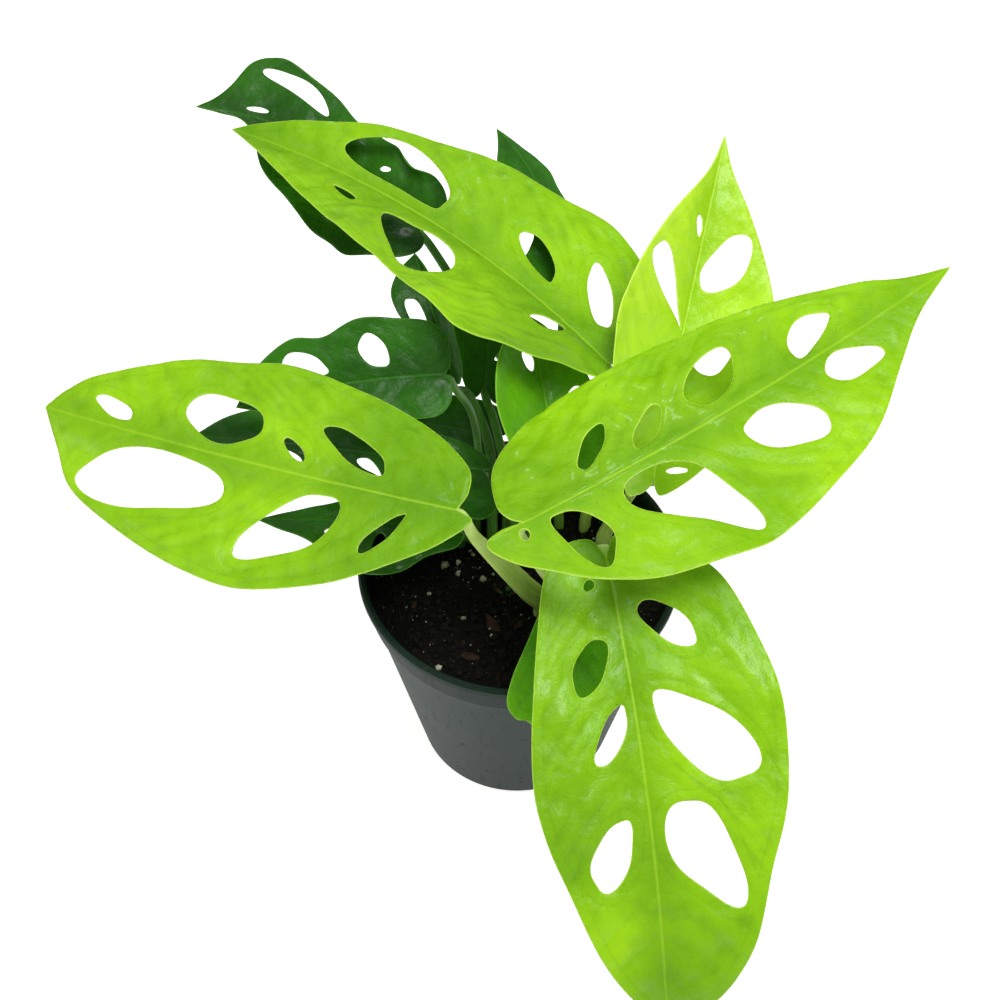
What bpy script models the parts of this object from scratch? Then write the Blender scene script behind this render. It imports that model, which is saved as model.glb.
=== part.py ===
# A monstera adansonii in its round nursery pot. Every leaf is one grown piece, blade with rib and stalk,
# and the stalks stand in holes in the potting soil that fills the pot.
# The values below are millimetres and degrees. The finished meshes are in metres, +Z up, and the origin
# is the middle of the pot's underside. +Y points away from whoever looks at the front leaf.

import math

import bmesh
import bpy
import numpy as np
from mathutils import Matrix, Vector
from mathutils.geometry import delaunay_2d_cdt

MM = 0.001

# Pot: radii are outside ones, from the foot up to the rolled rim
POT_SIDES = 48
POT_HEIGHT = 92.0
FOOT_RADIUS = 35.0
FOOT_CHAMFER = 1.0
STEP_HEIGHT = 79.0
STEP_RADIUS = 50.5
STEP_OUT = 1.2
RIM_RADIUS = 54.0
LIP_HEIGHT = 2.8
LIP_OUT = 0.8
LIP_ROUND = 0.6
POT_WALL = 1.6
POT_FLOOR = 3.0
DRAIN_COUNT = 6
DRAIN_RADIUS = 3.5
DRAIN_CIRCLE = 24.0

# Soil: a filling with an uneven top and one hole for each stalk
SOIL_GAP = 0.35
SOIL_TOP = 84.0
SOIL_EDGE = 83.0
SOIL_RINGS = (45.0, 36.0, 27.0, 18.0, 9.0)
SOIL_BUMP = 0.9
STALK_BOTTOM = 52.0
STALK_CLEARANCE = 0.45
STALK_FREE = 86.0

# Leaf blade and rib
BLADE = 0.7
RIB_DEEP = 1.7
RIB_SHALLOW = 0.3
RIB_FLANK = 2.5
RIB_SPACING = 10.0
SMALL_LEAF = 110.0
SMALL_EDGE, SMALL_GRID = 4.6, 12.0
LARGE_EDGE, LARGE_GRID = 5.6, 15.0
ROW_RATIO = 0.866
FLANK_KEEP_OFF = 1.2
GRID_KEEP_OFF = 0.36
HOLE_CORNERS = (8, 18)
BEND_STEPS = 40
FOLD_SLICES = 16
CURL_REACH = 8.0
WAVE_SHIFT = 1.7
FIRST_SOUND = 1.0
LAST_SOUND = 0.99
SHARP_EDGE = 50.0

# Stalk: where its upper end meets the rib
STALK_SIDES = 8
STALK_STEP = 8.0
BELOW_BASE = -1.0
UNDER_RIB = 7.0
BELOW_DROP = 1.6
UNDER_DROP = 1.0
NECK_SHARE = 0.9
NECK_END = (2.2, 1.8)

# One entry for each leaf. base is where the blade starts, heading and pitch are the way it sets out,
# and droop and sweep are how far the rib has bent down and turned left at the tip. roll and twist tip
# the blade over sideways, fold lifts its left and right halves from the rib, wave is the height and
# length of the ripple at the margin. curl rolls the right half up in one place: the most it turns, the
# distance from the rib where that starts, that distance's growth along the leaf, and where along the
# leaf it starts and how long it is. left and right are the margins from base to tip, as distance along
# the rib and distance left of it. A hole is its middle, length, width, angle, taper and bow. stalk is
# the way up from the soil: x, y, z, width and thickness.
LEAVES = {
    "leaf_left": dict(
        base=(-19.4, -29.3, 153.3), heading=160, pitch=-6, droop=-3, sweep=-3, roll=-11, twist=-10,
        fold=(-3, -9), wave=(0.8, 36), length=143.6, half=39.7, finish="lime",
        left=[(0, 0), (-5.7, 2.8), (0, 10.4), (9.4, 18), (19.8, 25.5), (35.9, 34), (54.8, 39.7),
              (77.5, 38.7), (102, 32.1), (122.8, 23.6), (134.2, 11.3), (143.6, 0)],
        right=[(0, 0), (-0.9, -7.6), (2.8, -17), (17, -26.5), (37.8, -34), (64.3, -38.7), (90.7, -35),
               (115.3, -26.5), (132.3, -16.1), (139.9, -7.6), (143.6, 0)],
        holes=[(121, -6.6, 15, 5.7, -16, 0, 0), (84, -13.2, 27.4, 17, -7, 0.1, 0),
               (57.6, -8.5, 11.3, 3.8, -36, 0.1, 0), (38.7, -13.2, 27.4, 8.5, -26, 0, 0),
               (99.2, 14.2, 50, 19.8, 9, 0, -0.9), (50, 18, 35, 16, 41, -0.3, 0.9),
               (19.8, 12.3, 18, 4.7, 58, 0.4, 0)],
        stalk=[(7, -14, 84, 8, 4), (2, -17, 99, 8.5, 3.6), (-6, -22, 118, 7, 3.4),
               (-14, -27, 137, 4.5, 3)]),
    "leaf_top": dict(
        base=(28, 32, 153), heading=130, pitch=10, droop=11, sweep=23, roll=15, twist=-28,
        fold=(15, 11), wave=(0.8, 40), length=166, half=41, finish="lime",
        left=[(0, 0), (-4, 3), (-5, 10), (5, 25), (16, 36), (28, 43), (44, 42), (68, 36), (93, 30),
              (117, 22), (142, 11), (157, 4), (166, 0)],
        right=[(0, 0), (-5, -4), (-5, -13), (1, -26), (15, -36), (36, -41), (60, -37), (85, -32),
               (108, -26), (126, -20), (144, -12), (158, -5), (166, 0)],
        holes=[(102, -11, 43, 17, -5, 0.2, -2), (112, 9, 11, 3, -12, -0.5, 0),
               (76, 16, 38, 19, -20, -0.5, 0), (45, -13, 22, 8, -24, 0.3, 0),
               (21, -17, 26, 8, -40, 0.1, 0), (22, 8, 12, 7, 33, 0, 0)],
        stalk=[(23, 20, 84, 4.4, 3.8), (26, 26, 104, 4, 3.4), (28.5, 32, 126, 3.4, 3),
               (29, 34.5, 142, 3.2, 2.8)]),
    "leaf_right": dict(
        base=(0, -42, 163), heading=31, pitch=3, droop=-8, sweep=4, roll=-9, twist=17,
        fold=(-8, -8), wave=(0.8, 42), length=161, half=43, finish="lime",
        left=[(0, 0), (-3, 5), (-2, 13), (4, 26), (14, 35), (30, 41), (52, 41), (73, 39), (93, 34),
              (113, 27), (134, 16), (148, 6), (161, 0)],
        right=[(0, 0), (-7, 1), (-13, -1), (-12, -7), (-5, -17), (6, -28), (24, -37), (48, -43),
               (67, -42), (90, -36), (108, -29), (126, -17), (142, -7), (161, 0)],
        holes=[(111, 9, 20, 10, 25, 0, 1), (115, -8, 20, 10, -10, -0.2, 0), (77, 15, 25, 14, 36, 0.1, 0),
               (51, 11, 20, 7, 40, 0, 0), (33, 15, 21, 7, 43, 0.2, 0), (84, -14, 26, 15, -26, 0.1, 0),
               (46, -20, 42, 18, -52, -0.3, 2), (12, -14, 24, 13, 97, -0.1, -1), (-2, -4, 4, 3, 66, 0, 0)],
        stalk=[(15.5, -13, 84, 6, 3.8), (10.5, -17, 100, 5.5, 3.4), (5, -26, 122, 4.4, 3),
               (1, -36, 146, 3.6, 2.8)]),
    "leaf_front": dict(
        base=(25, -38, 142), heading=-78, pitch=-23, droop=33, sweep=-5, roll=5, twist=1,
        fold=(7, 6), wave=(0.8, 36), length=144, half=43, finish="lime",
        left=[(0, 0), (-6, 4), (-4, 12), (2, 22), (12, 32), (30, 39), (50, 43), (74, 41), (96, 34),
              (118, 27), (134, 16), (144, 0)],
        right=[(0, 0), (-6, -4), (-5, -13), (4, -20), (24, -26), (47, -31), (66, -33), (82, -31),
               (98, -26), (118, -19), (132, -11), (144, 0)],
        holes=[(23, 14, 20, 9, 45, -0.1, 0), (56, 19, 36, 17, 46, 0.2, 0), (90, 16, 35, 17, 27, -0.2, -1),
               (8, -7, 4, 3, -47, 0, 0), (32, -11, 18, 9, -30, 0.1, 0), (53, -8, 19, 7, -30, 0.1, 0),
               (88, -12, 22, 11, -24, 0.2, 0)],
        stalk=[(20, -7, 84, 5, 3.8), (21, -10, 102, 4.4, 3.4), (24, -21, 124, 4, 3), (25, -31, 137, 3.6, 2.8)]),
    "leaf_upright": dict(
        base=(44, 13, 120), heading=75, pitch=45, droop=8, sweep=-1, roll=23, twist=-1,
        fold=(30, 18), wave=(0.4, 32), length=113, half=30, finish="lime",
        left=[(0, 0), (-4, 1), (-7, 6), (-6, 12), (10, 20), (26, 27), (45, 31), (60, 28), (74, 22),
              (88, 13), (101, 4), (113, 0)],
        right=[(0, 0), (-4, -1), (-6, -4), (1, -12), (12, -20), (24, -26), (42, -30), (58, -28),
               (74, -22), (90, -13), (102, -5), (113, 0)],
        holes=[(61, 11, 30, 7, 37, 0.8, 0), (72, -9, 22, 12, -28, 0, -1), (82, 3, 7, 3, 18, 0.2, 0),
               (43, -10, 15, 13, 6, 0, 0), (3, -7, 7, 2, -76, 0, 0)],
        stalk=[(29, 13, 84, 5.4, 3.8), (31, 15, 92, 4.6, 3.4), (36, 17, 102, 3.6, 3), (41, 17, 112, 2.8, 2.6)]),
    "leaf_back_left": dict(
        base=(-35, 102, 150), heading=122, pitch=12, droop=8, sweep=54, roll=-6, twist=0,
        fold=(0, 25), wave=(0.6, 30), curl=(150, 5, 0.2, 8, 46), length=98, half=26, finish="dark",
        left=[(0, 0), (-7, 1), (-10, 6), (-8, 13), (-3, 20), (2, 28), (12, 30), (30, 31), (46, 27),
              (63, 21), (78, 4), (89, 1.5), (98, 0)],
        right=[(0, 0), (-4, -4), (-3, -11), (4, -15), (16, -15), (31, -13), (42, -13), (52, -17),
               (62, -20), (74, -24), (82, -20), (87, -10), (92, -4), (98, 0)],
        holes=[(65, -14.5, 27, 6, -17, 0.1, -1), (76, -3, 8, 2, 6, 0, 0), (24, -5, 4, 2, 30, 0, 0)],
        stalk=[(4, 14, 84, 4, 3.6), (4, 28, 91, 3.6, 3.2), (3, 62, 101, 3.4, 3), (-14, 84, 121, 3.2, 3),
               (-29, 97, 142, 3, 2.8)]),
    "leaf_back": dict(
        base=(15, 67, 147), heading=88, pitch=17, droop=12, sweep=38, roll=0, twist=0,
        fold=(10, 8), wave=(0.6, 26), length=79, half=16, finish="dark",
        left=[(0, 0), (-5, 2), (-5, 8), (4, 13), (14, 14), (21, 10.5), (28, 8), (42, 9), (54, 10.5),
              (62, 10), (70, 5.5), (79, 0)],
        right=[(0, 0), (-4, -2), (-4, -6), (4, -7.5), (18, -8), (32, -8), (44, -6), (52, -6),
               (59, -4.5), (66, -2.5), (79, 0)],
        holes=[(55, 5, 5, 3.5, 20, 0, 0)],
        stalk=[(9, 21, 84, 3.6, 3.2), (10, 30, 100, 3.4, 3), (12, 46, 122, 3.2, 2.8), (14.5, 61, 139, 3, 2.6)]),
    "leaf_mid_left": dict(
        base=(-24, 32, 148), heading=-177, pitch=0, droop=20, sweep=0, roll=-35, twist=0,
        fold=(6, 12), wave=(0.6, 24), length=70, half=18, finish="dark",
        left=[(0, 0), (-2, 4), (-1, 10), (4, 14), (16, 14), (32, 12), (48, 9), (61, 4), (70, 0)],
        right=[(0, 0), (-2, -4), (-1, -11), (4, -17), (14, -19), (26, -20), (37, -16), (47, -17),
               (58, -12), (65, -5), (70, 0)],
        holes=[(22, -9, 12, 8, -59, 0.1, 0), (44, -8, 15, 7, -25, 0.2, 0), (38, 4.8, 8, 2.6, 12, 0, 0)],
        stalk=[(-14, 18, 84, 4, 3.6), (-14, 26, 96, 3.6, 3.2), (-13.5, 35, 109, 3.2, 3), (-16, 37, 125, 3, 2.8),
               (-21, 34, 139, 3, 2.6)]),
    "leaf_mid": dict(
        base=(11, 15, 128), heading=103, pitch=51, droop=30, sweep=0, roll=20, twist=0,
        fold=(20, 20), wave=(0.4, 24), length=47, half=20, finish="mid",
        left=[(0, 0), (-4, 3), (-4, 11), (3, 19), (12, 23), (24, 23), (34, 17), (42, 8), (47, 0)],
        right=[(0, 0), (-6, -2), (-9, -7), (-9, -13), (-4, -18.5), (4, -20), (12, -18), (24, -15),
               (34, -10), (42, -5), (47, 0)],
        holes=[(31, 4.5, 7, 5, 20, 0, 0), (16, -8, 12, 4, -35, 0, 0)],
        stalk=[(14, 20, 84, 3.6, 3.2), (13.5, 20, 96, 3.4, 3), (13, 18, 112, 3, 2.8)]),
    "leaf_back_low": dict(
        base=(-11.5, 56.5, 117), heading=83, pitch=36, droop=10, sweep=0, roll=0, twist=0,
        fold=(10, 10), wave=(0.4, 22), length=56, half=13, finish="dark",
        left=[(0, 0), (-4, 2), (-4, 5), (4, 9), (14, 13), (24, 14), (34, 11), (46, 4), (56, 0)],
        right=[(0, 0), (-4, -2), (-6, -5), (-2, -8), (10, -10), (24, -10), (38, -7), (48, -3), (56, 0)],
        holes=[(11, -5, 6, 2.5, -50, 0, 0)],
        stalk=[(-0.5, 7, 84, 3.4, 3), (-3, 26, 97, 3.2, 3), (-8, 46, 109, 3, 2.6)]),
    "leaf_centre": dict(
        base=(-12, 22, 112), heading=171, pitch=5, droop=10, sweep=0, roll=0, twist=0,
        fold=(4, 4), wave=(0.6, 30), length=100, half=22, finish="dark",
        left=[(0, 0), (-3, 4), (-7, 12), (-6, 18), (-2, 22), (8, 21.5), (24, 19), (46, 14.5),
              (66, 10.5), (84, 5), (100, 0)],
        right=[(0, 0), (-3, -2), (-1, -5), (4, -8), (16, -12), (38, -14), (58, -15), (76, -14),
               (90, -9), (100, 0)],
        holes=[(37, 6.5, 12, 4, -40, 0.5, 0), (64, 5.5, 9, 3, -25, 0.3, 0)],
        stalk=[(-19, 13, 84, 4, 3.6), (-18, 14, 95, 3.6, 3.2), (-14.5, 17, 106, 3, 2.8)]),
    "leaf_under_left": dict(
        base=(-22, 0, 108), heading=173, pitch=1, droop=10, sweep=0, roll=0, twist=0,
        fold=(4, 4), wave=(0.8, 22), length=66, half=22, finish="dark",
        left=[(0, 0), (-4, 2), (-2, 8), (6, 13), (14, 20), (24, 23), (33, 21), (41, 13), (50, 7),
              (58, 4), (66, 0)],
        right=[(0, 0), (-3, -2), (-2, -7), (8, -10), (20, -11), (32, -10), (42, -7), (52, -4), (66, 0)],
        holes=[(23, 9, 9, 4, 85, -0.2, 0), (38, 4, 8, 3, 15, 0, 0)],
        stalk=[(-13, 11.5, 84, 3.6, 3.2), (-15, 8, 92, 3.4, 3), (-18, 3, 101, 3, 2.6)]),
    "leaf_back_low_left": dict(
        base=(-22, 48, 128), heading=108, pitch=30, droop=10, sweep=0, roll=0, twist=0,
        fold=(0, 60), wave=(0.4, 20), length=48, half=14, finish="dark",
        left=[(0, 0), (-2, 3), (2, 7), (10, 9), (20, 9), (28, 12), (36, 12), (43, 7), (48, 0)],
        right=[(0, 0), (-2, -3), (3, -7), (12, -8), (22, -8), (32, -6), (41, -3), (48, 0)],
        holes=[(24, 5.5, 17, 5, 9, 0.3, 0)],
        stalk=[(-9, 5.5, 84, 4, 3.6), (-9, 23, 94, 3.6, 3.2), (-10, 42, 102, 3.6, 3),
               (-17, 51, 118, 3.4, 2.8)]),
    "leaf_hidden": dict(
        base=(-7, 50, 98), heading=170, pitch=8, droop=14, sweep=0, roll=-10, twist=0,
        fold=(6, 6), wave=(0.4, 24), length=46, half=13, finish="dark",
        left=[(0, 0), (-3, 2), (-3, 7), (4, 12), (14, 13), (26, 11), (37, 5), (46, 0)],
        right=[(0, 0), (-3, -2), (-3, -7), (4, -12), (14, -13), (26, -11), (37, -5), (46, 0)],
        holes=[],
        stalk=[(-5, 11, 84, 3.4, 3), (-4, 22, 89, 3.2, 2.8), (-5, 38, 93, 3, 2.6)]),
    "leaf_rim": dict(
        base=(12.5, -29.5, 109), heading=-92, pitch=-15, droop=45, sweep=0, roll=0, twist=0,
        fold=(4, 4), wave=(0.4, 22), length=49, half=17, finish="mid",
        left=[(0, 0), (-5, 2), (-8, 7), (-7, 13), (0, 15), (7, 15.5), (14, 17), (23, 18), (31, 16),
              (38, 9), (43, 5), (49, 0)],
        right=[(0, 0), (-1, -2), (4, -6), (14, -10), (24, -14), (33, -16), (38, -13), (39, -9),
               (45, -4), (49, 0)],
        holes=[],
        stalk=[(14, -20, 84, 3.4, 3), (14, -21, 92, 3.2, 2.8), (13, -26, 103, 3, 2.6)]),
}

FINISHES = {
    "lime": ((0.33, 0.62, 0.035, 1.0), 0.36),
    "mid": ((0.16, 0.42, 0.03, 1.0), 0.4),
    "dark": ((0.035, 0.15, 0.025, 1.0), 0.42),
    "pot": ((0.055, 0.085, 0.08, 1.0), 0.5),
    "soil": ((0.012, 0.009, 0.007, 1.0), 0.95),
}


def clear_scene():
    for item in list(bpy.data.objects):
        bpy.data.objects.remove(item, do_unlink=True)


def material(name, finish):
    color, roughness = FINISHES[finish]
    made = bpy.data.materials.new(name)
    made.use_nodes = True
    shader = made.node_tree.nodes["Principled BSDF"]
    shader.inputs["Base Color"].default_value = color
    shader.inputs["Roughness"].default_value = roughness
    shader.inputs["Metallic"].default_value = 0.0
    return made


def add_object(name, bm, finish=None):
    """Make an object in metres from a mesh that was built in millimetres."""
    bmesh.ops.scale(bm, verts=bm.verts, vec=Vector((MM, MM, MM)))
    mesh = bpy.data.meshes.new(name)
    bm.to_mesh(mesh)
    bm.free()
    if finish:
        mesh.materials.append(material(name + "_finish", finish))
    made = bpy.data.objects.new(name, mesh)
    bpy.context.scene.collection.objects.link(made)
    return made


def apply_boolean(target, operation, tool):
    """Join or cut the target with the tool, and remove the tool."""
    step = target.modifiers.new(operation.lower(), "BOOLEAN")
    step.operation = operation
    step.solver = "EXACT"
    step.object = tool
    depsgraph = bpy.context.evaluated_depsgraph_get()
    result = bpy.data.meshes.new_from_object(target.evaluated_get(depsgraph))
    target.modifiers.remove(step)
    result.name = target.name
    target.data = result
    bpy.data.objects.remove(tool, do_unlink=True)


def spin_profile(profile, sides):
    """Turn a profile of radius and height round the upright axis into a closed body."""
    bm = bmesh.new()
    corners = [bm.verts.new((radius, 0.0, height)) for radius, height in profile]
    for low, high in zip(corners, corners[1:]):
        bm.edges.new((low, high))
    bmesh.ops.spin(bm, geom=bm.verts[:] + bm.edges[:], cent=(0, 0, 0), axis=(0, 0, 1),
                   angle=math.tau, steps=sides, use_merge=True)
    bmesh.ops.remove_doubles(bm, verts=bm.verts, dist=0.001)
    bmesh.ops.recalc_face_normals(bm, faces=bm.faces)
    return bm


def wall_radius(height):
    """Outside radius of the pot at a height, under the lip."""
    if height <= STEP_HEIGHT:
        share = (height - FOOT_CHAMFER) / (STEP_HEIGHT - FOOT_CHAMFER)
        return FOOT_RADIUS + (STEP_RADIUS - FOOT_RADIUS) * share
    low = STEP_HEIGHT + STEP_OUT
    share = (height - low) / (POT_HEIGHT - LIP_HEIGHT - low)
    return STEP_RADIUS + STEP_OUT + (RIM_RADIUS - LIP_OUT - STEP_RADIUS - STEP_OUT) * max(share, 0.0)


def build_pot():
    collar = STEP_HEIGHT + STEP_OUT
    lip = POT_HEIGHT - LIP_HEIGHT
    inside = wall_radius(lip) - POT_WALL
    profile = [
        (0.0, 0.0),
        (FOOT_RADIUS - FOOT_CHAMFER, 0.0),
        (FOOT_RADIUS, FOOT_CHAMFER),
        (STEP_RADIUS, STEP_HEIGHT),
        (wall_radius(collar), collar),
        (wall_radius(lip), lip),
        (RIM_RADIUS, lip + LIP_ROUND),
        (RIM_RADIUS, POT_HEIGHT - LIP_ROUND),
        (RIM_RADIUS - LIP_ROUND, POT_HEIGHT),
        (inside + LIP_ROUND, POT_HEIGHT),
        (inside, POT_HEIGHT - LIP_ROUND),
        (wall_radius(collar) - POT_WALL, collar),
        (STEP_RADIUS - POT_WALL, STEP_HEIGHT),
        (wall_radius(POT_FLOOR) - POT_WALL, POT_FLOOR),
        (0.0, POT_FLOOR),
    ]
    pot = add_object("pot", spin_profile(profile, POT_SIDES), "pot")

    drains = bmesh.new()
    for number in range(DRAIN_COUNT):
        angle = math.tau * number / DRAIN_COUNT
        middle = (DRAIN_CIRCLE * math.cos(angle), DRAIN_CIRCLE * math.sin(angle), POT_FLOOR / 2)
        bmesh.ops.create_cone(drains, cap_ends=True, segments=14, radius1=DRAIN_RADIUS,
                              radius2=DRAIN_RADIUS, depth=POT_FLOOR * 2,
                              matrix=Matrix.Translation(middle))
    apply_boolean(pot, "DIFFERENCE", add_object("pot_drains", drains))
    pot.data.shade_smooth()
    pot.data.set_sharp_from_angle(angle=math.radians(30))


def soil_height(x, y):
    """Height of the uneven soil top."""
    bumps = math.sin(0.31 * x + 1.0) * math.cos(0.27 * y - 0.4) + 0.6 * math.sin(0.55 * y + 0.23 * x)
    return SOIL_TOP + SOIL_BUMP * bumps


def build_soil():
    bottom = POT_FLOOR + SOIL_GAP
    collar = STEP_HEIGHT + STEP_OUT
    profile = [
        (0.0, bottom),
        (wall_radius(bottom) - POT_WALL - SOIL_GAP, bottom),
        (STEP_RADIUS - POT_WALL - SOIL_GAP, STEP_HEIGHT),
        (wall_radius(collar) - POT_WALL - SOIL_GAP, collar),
        (wall_radius(SOIL_EDGE) - POT_WALL - SOIL_GAP, SOIL_EDGE),
    ]
    profile += [(radius, SOIL_TOP) for radius in SOIL_RINGS] + [(0.0, SOIL_TOP)]
    bm = spin_profile(profile, POT_SIDES)
    for vert in bm.verts:
        if vert.co.z == SOIL_TOP:
            vert.co.z = soil_height(vert.co.x, vert.co.y)
    soil = add_object("soil", bm, "soil")

    holes = bmesh.new()
    for leaf in LEAVES.values():
        x, y, _, width, thickness = leaf["stalk"][0]
        turn = Matrix.Rotation(math.radians(leaf["heading"] + 90), 4, "Z")
        size = Matrix.Diagonal((width / 2 + STALK_CLEARANCE, thickness / 2 + STALK_CLEARANCE, 1, 1))
        depth = SOIL_TOP + 10 - STALK_BOTTOM
        middle = Matrix.Translation((x, y, STALK_BOTTOM - STALK_CLEARANCE + depth / 2))
        bmesh.ops.create_cone(holes, cap_ends=True, segments=12, radius1=1, radius2=1, depth=depth,
                              matrix=middle @ turn @ size)
    apply_boolean(soil, "DIFFERENCE", add_object("soil_holes", holes))


def smooth_curve(points, step, lead=None):
    """Points every step or so along a smooth curve through the given points."""
    points = np.array(points, float)
    first = 2 * points[0] - points[1] if lead is None else lead
    ends = np.vstack([first, points, 2 * points[-1] - points[-2]])
    found = []
    for before, start, end, after in zip(ends, ends[1:], ends[2:], ends[3:]):
        count = max(2, math.ceil(np.linalg.norm((end - start)[:3]) / step))
        for t in np.linspace(0, 1, count, endpoint=False):
            found.append(0.5 * (2 * start + (end - before) * t
                                + (2 * before - 5 * start + 4 * end - after) * t ** 2
                                + (3 * start - before - 3 * end + after) * t ** 3))
    return np.array(found + [points[-1]])


def hole_loop(hole, step):
    """The egg-shaped outline of a hole in the flat blade."""
    x, y, length, width, angle, taper, bow = hole
    count = int(np.clip(round((length + width) * 1.5 / step), *HOLE_CORNERS))
    turn = np.linspace(0, math.tau, count, endpoint=False)
    along = length / 2 * np.cos(turn)
    across = width / 2 * np.sin(turn) * (1 + taper * np.cos(turn)) + bow * (1 - 2 * np.cos(turn) ** 2)
    c, s = math.cos(math.radians(angle)), math.sin(math.radians(angle))
    return np.column_stack([x + along * c - across * s, y + along * s + across * c])


def inside(loop, points):
    """Which of the points lie inside a closed loop."""
    hit = np.zeros(len(points), bool)
    for (x1, y1), (x2, y2) in zip(loop, np.roll(loop, -1, axis=0)):
        if y1 == y2:
            continue
        crosses = (y1 > points[:, 1]) != (y2 > points[:, 1])
        hit ^= crosses & (points[:, 0] < (x2 - x1) * (points[:, 1] - y1) / (y2 - y1) + x1)
    return hit


def gap_to(loop, points):
    """Distance from each point to the nearest corner of a loop."""
    return np.linalg.norm(points[:, None] - loop[None], axis=2).min(axis=1)


def on_leaf(leaf, along, left):
    """Bend flat blade points into place: along the rib, and left of it."""
    along, left = np.asarray(along, float), np.asarray(left, float)
    length = leaf["length"]
    share = np.linspace(0, 1, BEND_STEPS + 1)
    heading = np.radians(leaf["heading"] + leaf["sweep"] * share)
    pitch = np.radians(leaf["pitch"] - leaf["droop"] * share)
    way = np.column_stack([np.cos(heading) * np.cos(pitch), np.sin(heading) * np.cos(pitch), np.sin(pitch)])
    steps = (way[1:] + way[:-1]) / 2 * length / BEND_STEPS
    rib = np.vstack([[0, 0, 0], np.cumsum(steps, axis=0)]) + leaf["base"]

    t = np.clip(along / length, 0, 1)
    middle = np.column_stack([np.interp(t, share, rib[:, k]) for k in range(3)])
    ahead = np.column_stack([np.interp(t, share, way[:, k]) for k in range(3)])
    ahead /= np.linalg.norm(ahead, axis=1, keepdims=True)
    middle += ahead * (along - t * length)[:, None]
    heading = np.radians(leaf["heading"] + leaf["sweep"] * t)
    side = np.column_stack([-np.sin(heading), np.cos(heading), np.zeros_like(t)])
    up = np.cross(ahead, side)
    roll = np.radians(leaf["roll"] + leaf["twist"] * t)[:, None]
    side, up = side * np.cos(roll) + up * np.sin(roll), up * np.cos(roll) - side * np.sin(roll)

    reach = np.abs(left)
    out, lift = np.zeros_like(reach), np.zeros_like(reach)
    for number in range(FOLD_SLICES):
        here = reach * (number + 0.5) / FOLD_SLICES
        angle = np.where(left > 0, leaf["fold"][0], leaf["fold"][1]).astype(float)
        if "curl" in leaf:
            most, start, growth, begin, wavelength = leaf["curl"]
            rolled = most * np.maximum(0, np.sin(math.tau * (along - begin) / wavelength))
            rolled *= np.clip((here - start - growth * along) / CURL_REACH, 0, 1.2)
            angle += np.where(left < 0, rolled, 0)
        out += np.cos(np.radians(angle)) * reach / FOLD_SLICES
        lift += np.sin(np.radians(angle)) * reach / FOLD_SLICES
    height, wavelength = leaf["wave"]
    lift += height * (reach / leaf["half"]) ** 2 * np.sin(math.tau * along / wavelength
                                                         + np.where(left > 0, 0, WAVE_SHIFT))
    return middle + side * (out * np.sign(left))[:, None] + up * lift[:, None]


def leaf_normals(leaf, along, left):
    """Upward directions of the bent blade."""
    step = 0.4
    ahead = on_leaf(leaf, along + step, left) - on_leaf(leaf, along - step, left)
    side = on_leaf(leaf, along, left + step) - on_leaf(leaf, along, left - step)
    up = np.cross(ahead, side)
    return up / np.linalg.norm(up, axis=1, keepdims=True)


def flat_blade(leaf):
    """Split the flat blade into triangles. Returns its corners, triangles and boundary edges."""
    length = leaf["length"]
    step, spacing = (LARGE_EDGE, LARGE_GRID)
    if length < SMALL_LEAF:
        step, spacing = (SMALL_EDGE, SMALL_GRID)
    left = smooth_curve(leaf["left"], step)
    right = smooth_curve(leaf["right"], step)
    margin = np.vstack([left, right[::-1][1:-1]])
    holes = [hole_loop(hole, step) for hole in leaf["holes"]]

    points, edges = [], []
    for loop in [margin] + holes:
        first = len(points)
        points += [tuple(point) for point in loop]
        edges += [(first + k, first + (k + 1) % len(loop)) for k in range(len(loop))]

    rib_at = np.linspace(0, length, round(length / RIB_SPACING) + 1)[1:-1]
    rib = [0] + list(range(len(points), len(points) + len(rib_at))) + [len(left) - 1]
    points += [(at, 0.0) for at in rib_at]
    edges += list(zip(rib, rib[1:]))

    flanks = [(at, side * RIB_FLANK) for at in rib_at for side in (-1, 1)]
    low, high = -4 * spacing, 4 * spacing
    rows = np.arange(low, high, spacing * ROW_RATIO)
    grid = [(at + (number % 2) * spacing / 2, across) for number, across in enumerate(rows)
            for at in np.arange(low / 2, length, spacing) if abs(across) > 2 * RIB_FLANK]
    for extra, keep_off in ((flanks, FLANK_KEEP_OFF), (grid, spacing * GRID_KEEP_OFF)):
        extra = np.array(extra)
        good = inside(margin, extra)
        for loop in holes:
            good &= ~inside(loop, extra)
        for loop in [margin] + holes:
            good &= gap_to(loop, extra) > keep_off
        points += [tuple(point) for point in extra[good]]

    corners, _, faces, _, _, _ = delaunay_2d_cdt([Vector(point) for point in points], edges, [], 0, 1e-5)
    corners = np.array([tuple(corner) for corner in corners])
    faces = np.array([face for face in faces])
    centres = corners[faces].mean(axis=1)
    good = inside(margin, centres)
    for loop in holes:
        good &= ~inside(loop, centres)
    return corners, faces[good]


def stalk_path(leaf):
    """The stalk from the soil to under the blade, as x, y, z, width and thickness."""
    x, y, _, width, thickness = leaf["stalk"][0]
    below, under = on_leaf(leaf, [BELOW_BASE, UNDER_RIB], [0.0, 0.0])
    last = leaf["stalk"][-1]
    way = [(x, y, STALK_FREE, width, thickness)] + list(leaf["stalk"][1:])
    neck = (last[3] * NECK_SHARE, last[4] * NECK_SHARE)
    way.append((below[0], below[1], below[2] - BELOW_DROP, *neck))
    way.append((under[0], under[1], under[2] - UNDER_DROP, *NECK_END))
    way = np.array(way)
    lead = way[1].copy()
    lead[2] = 2 * way[0][2] - way[1][2]
    buried = np.array([(x, y, STALK_BOTTOM, width, thickness)])
    return np.vstack([buried, smooth_curve(way, STALK_STEP, lead)])


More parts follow.
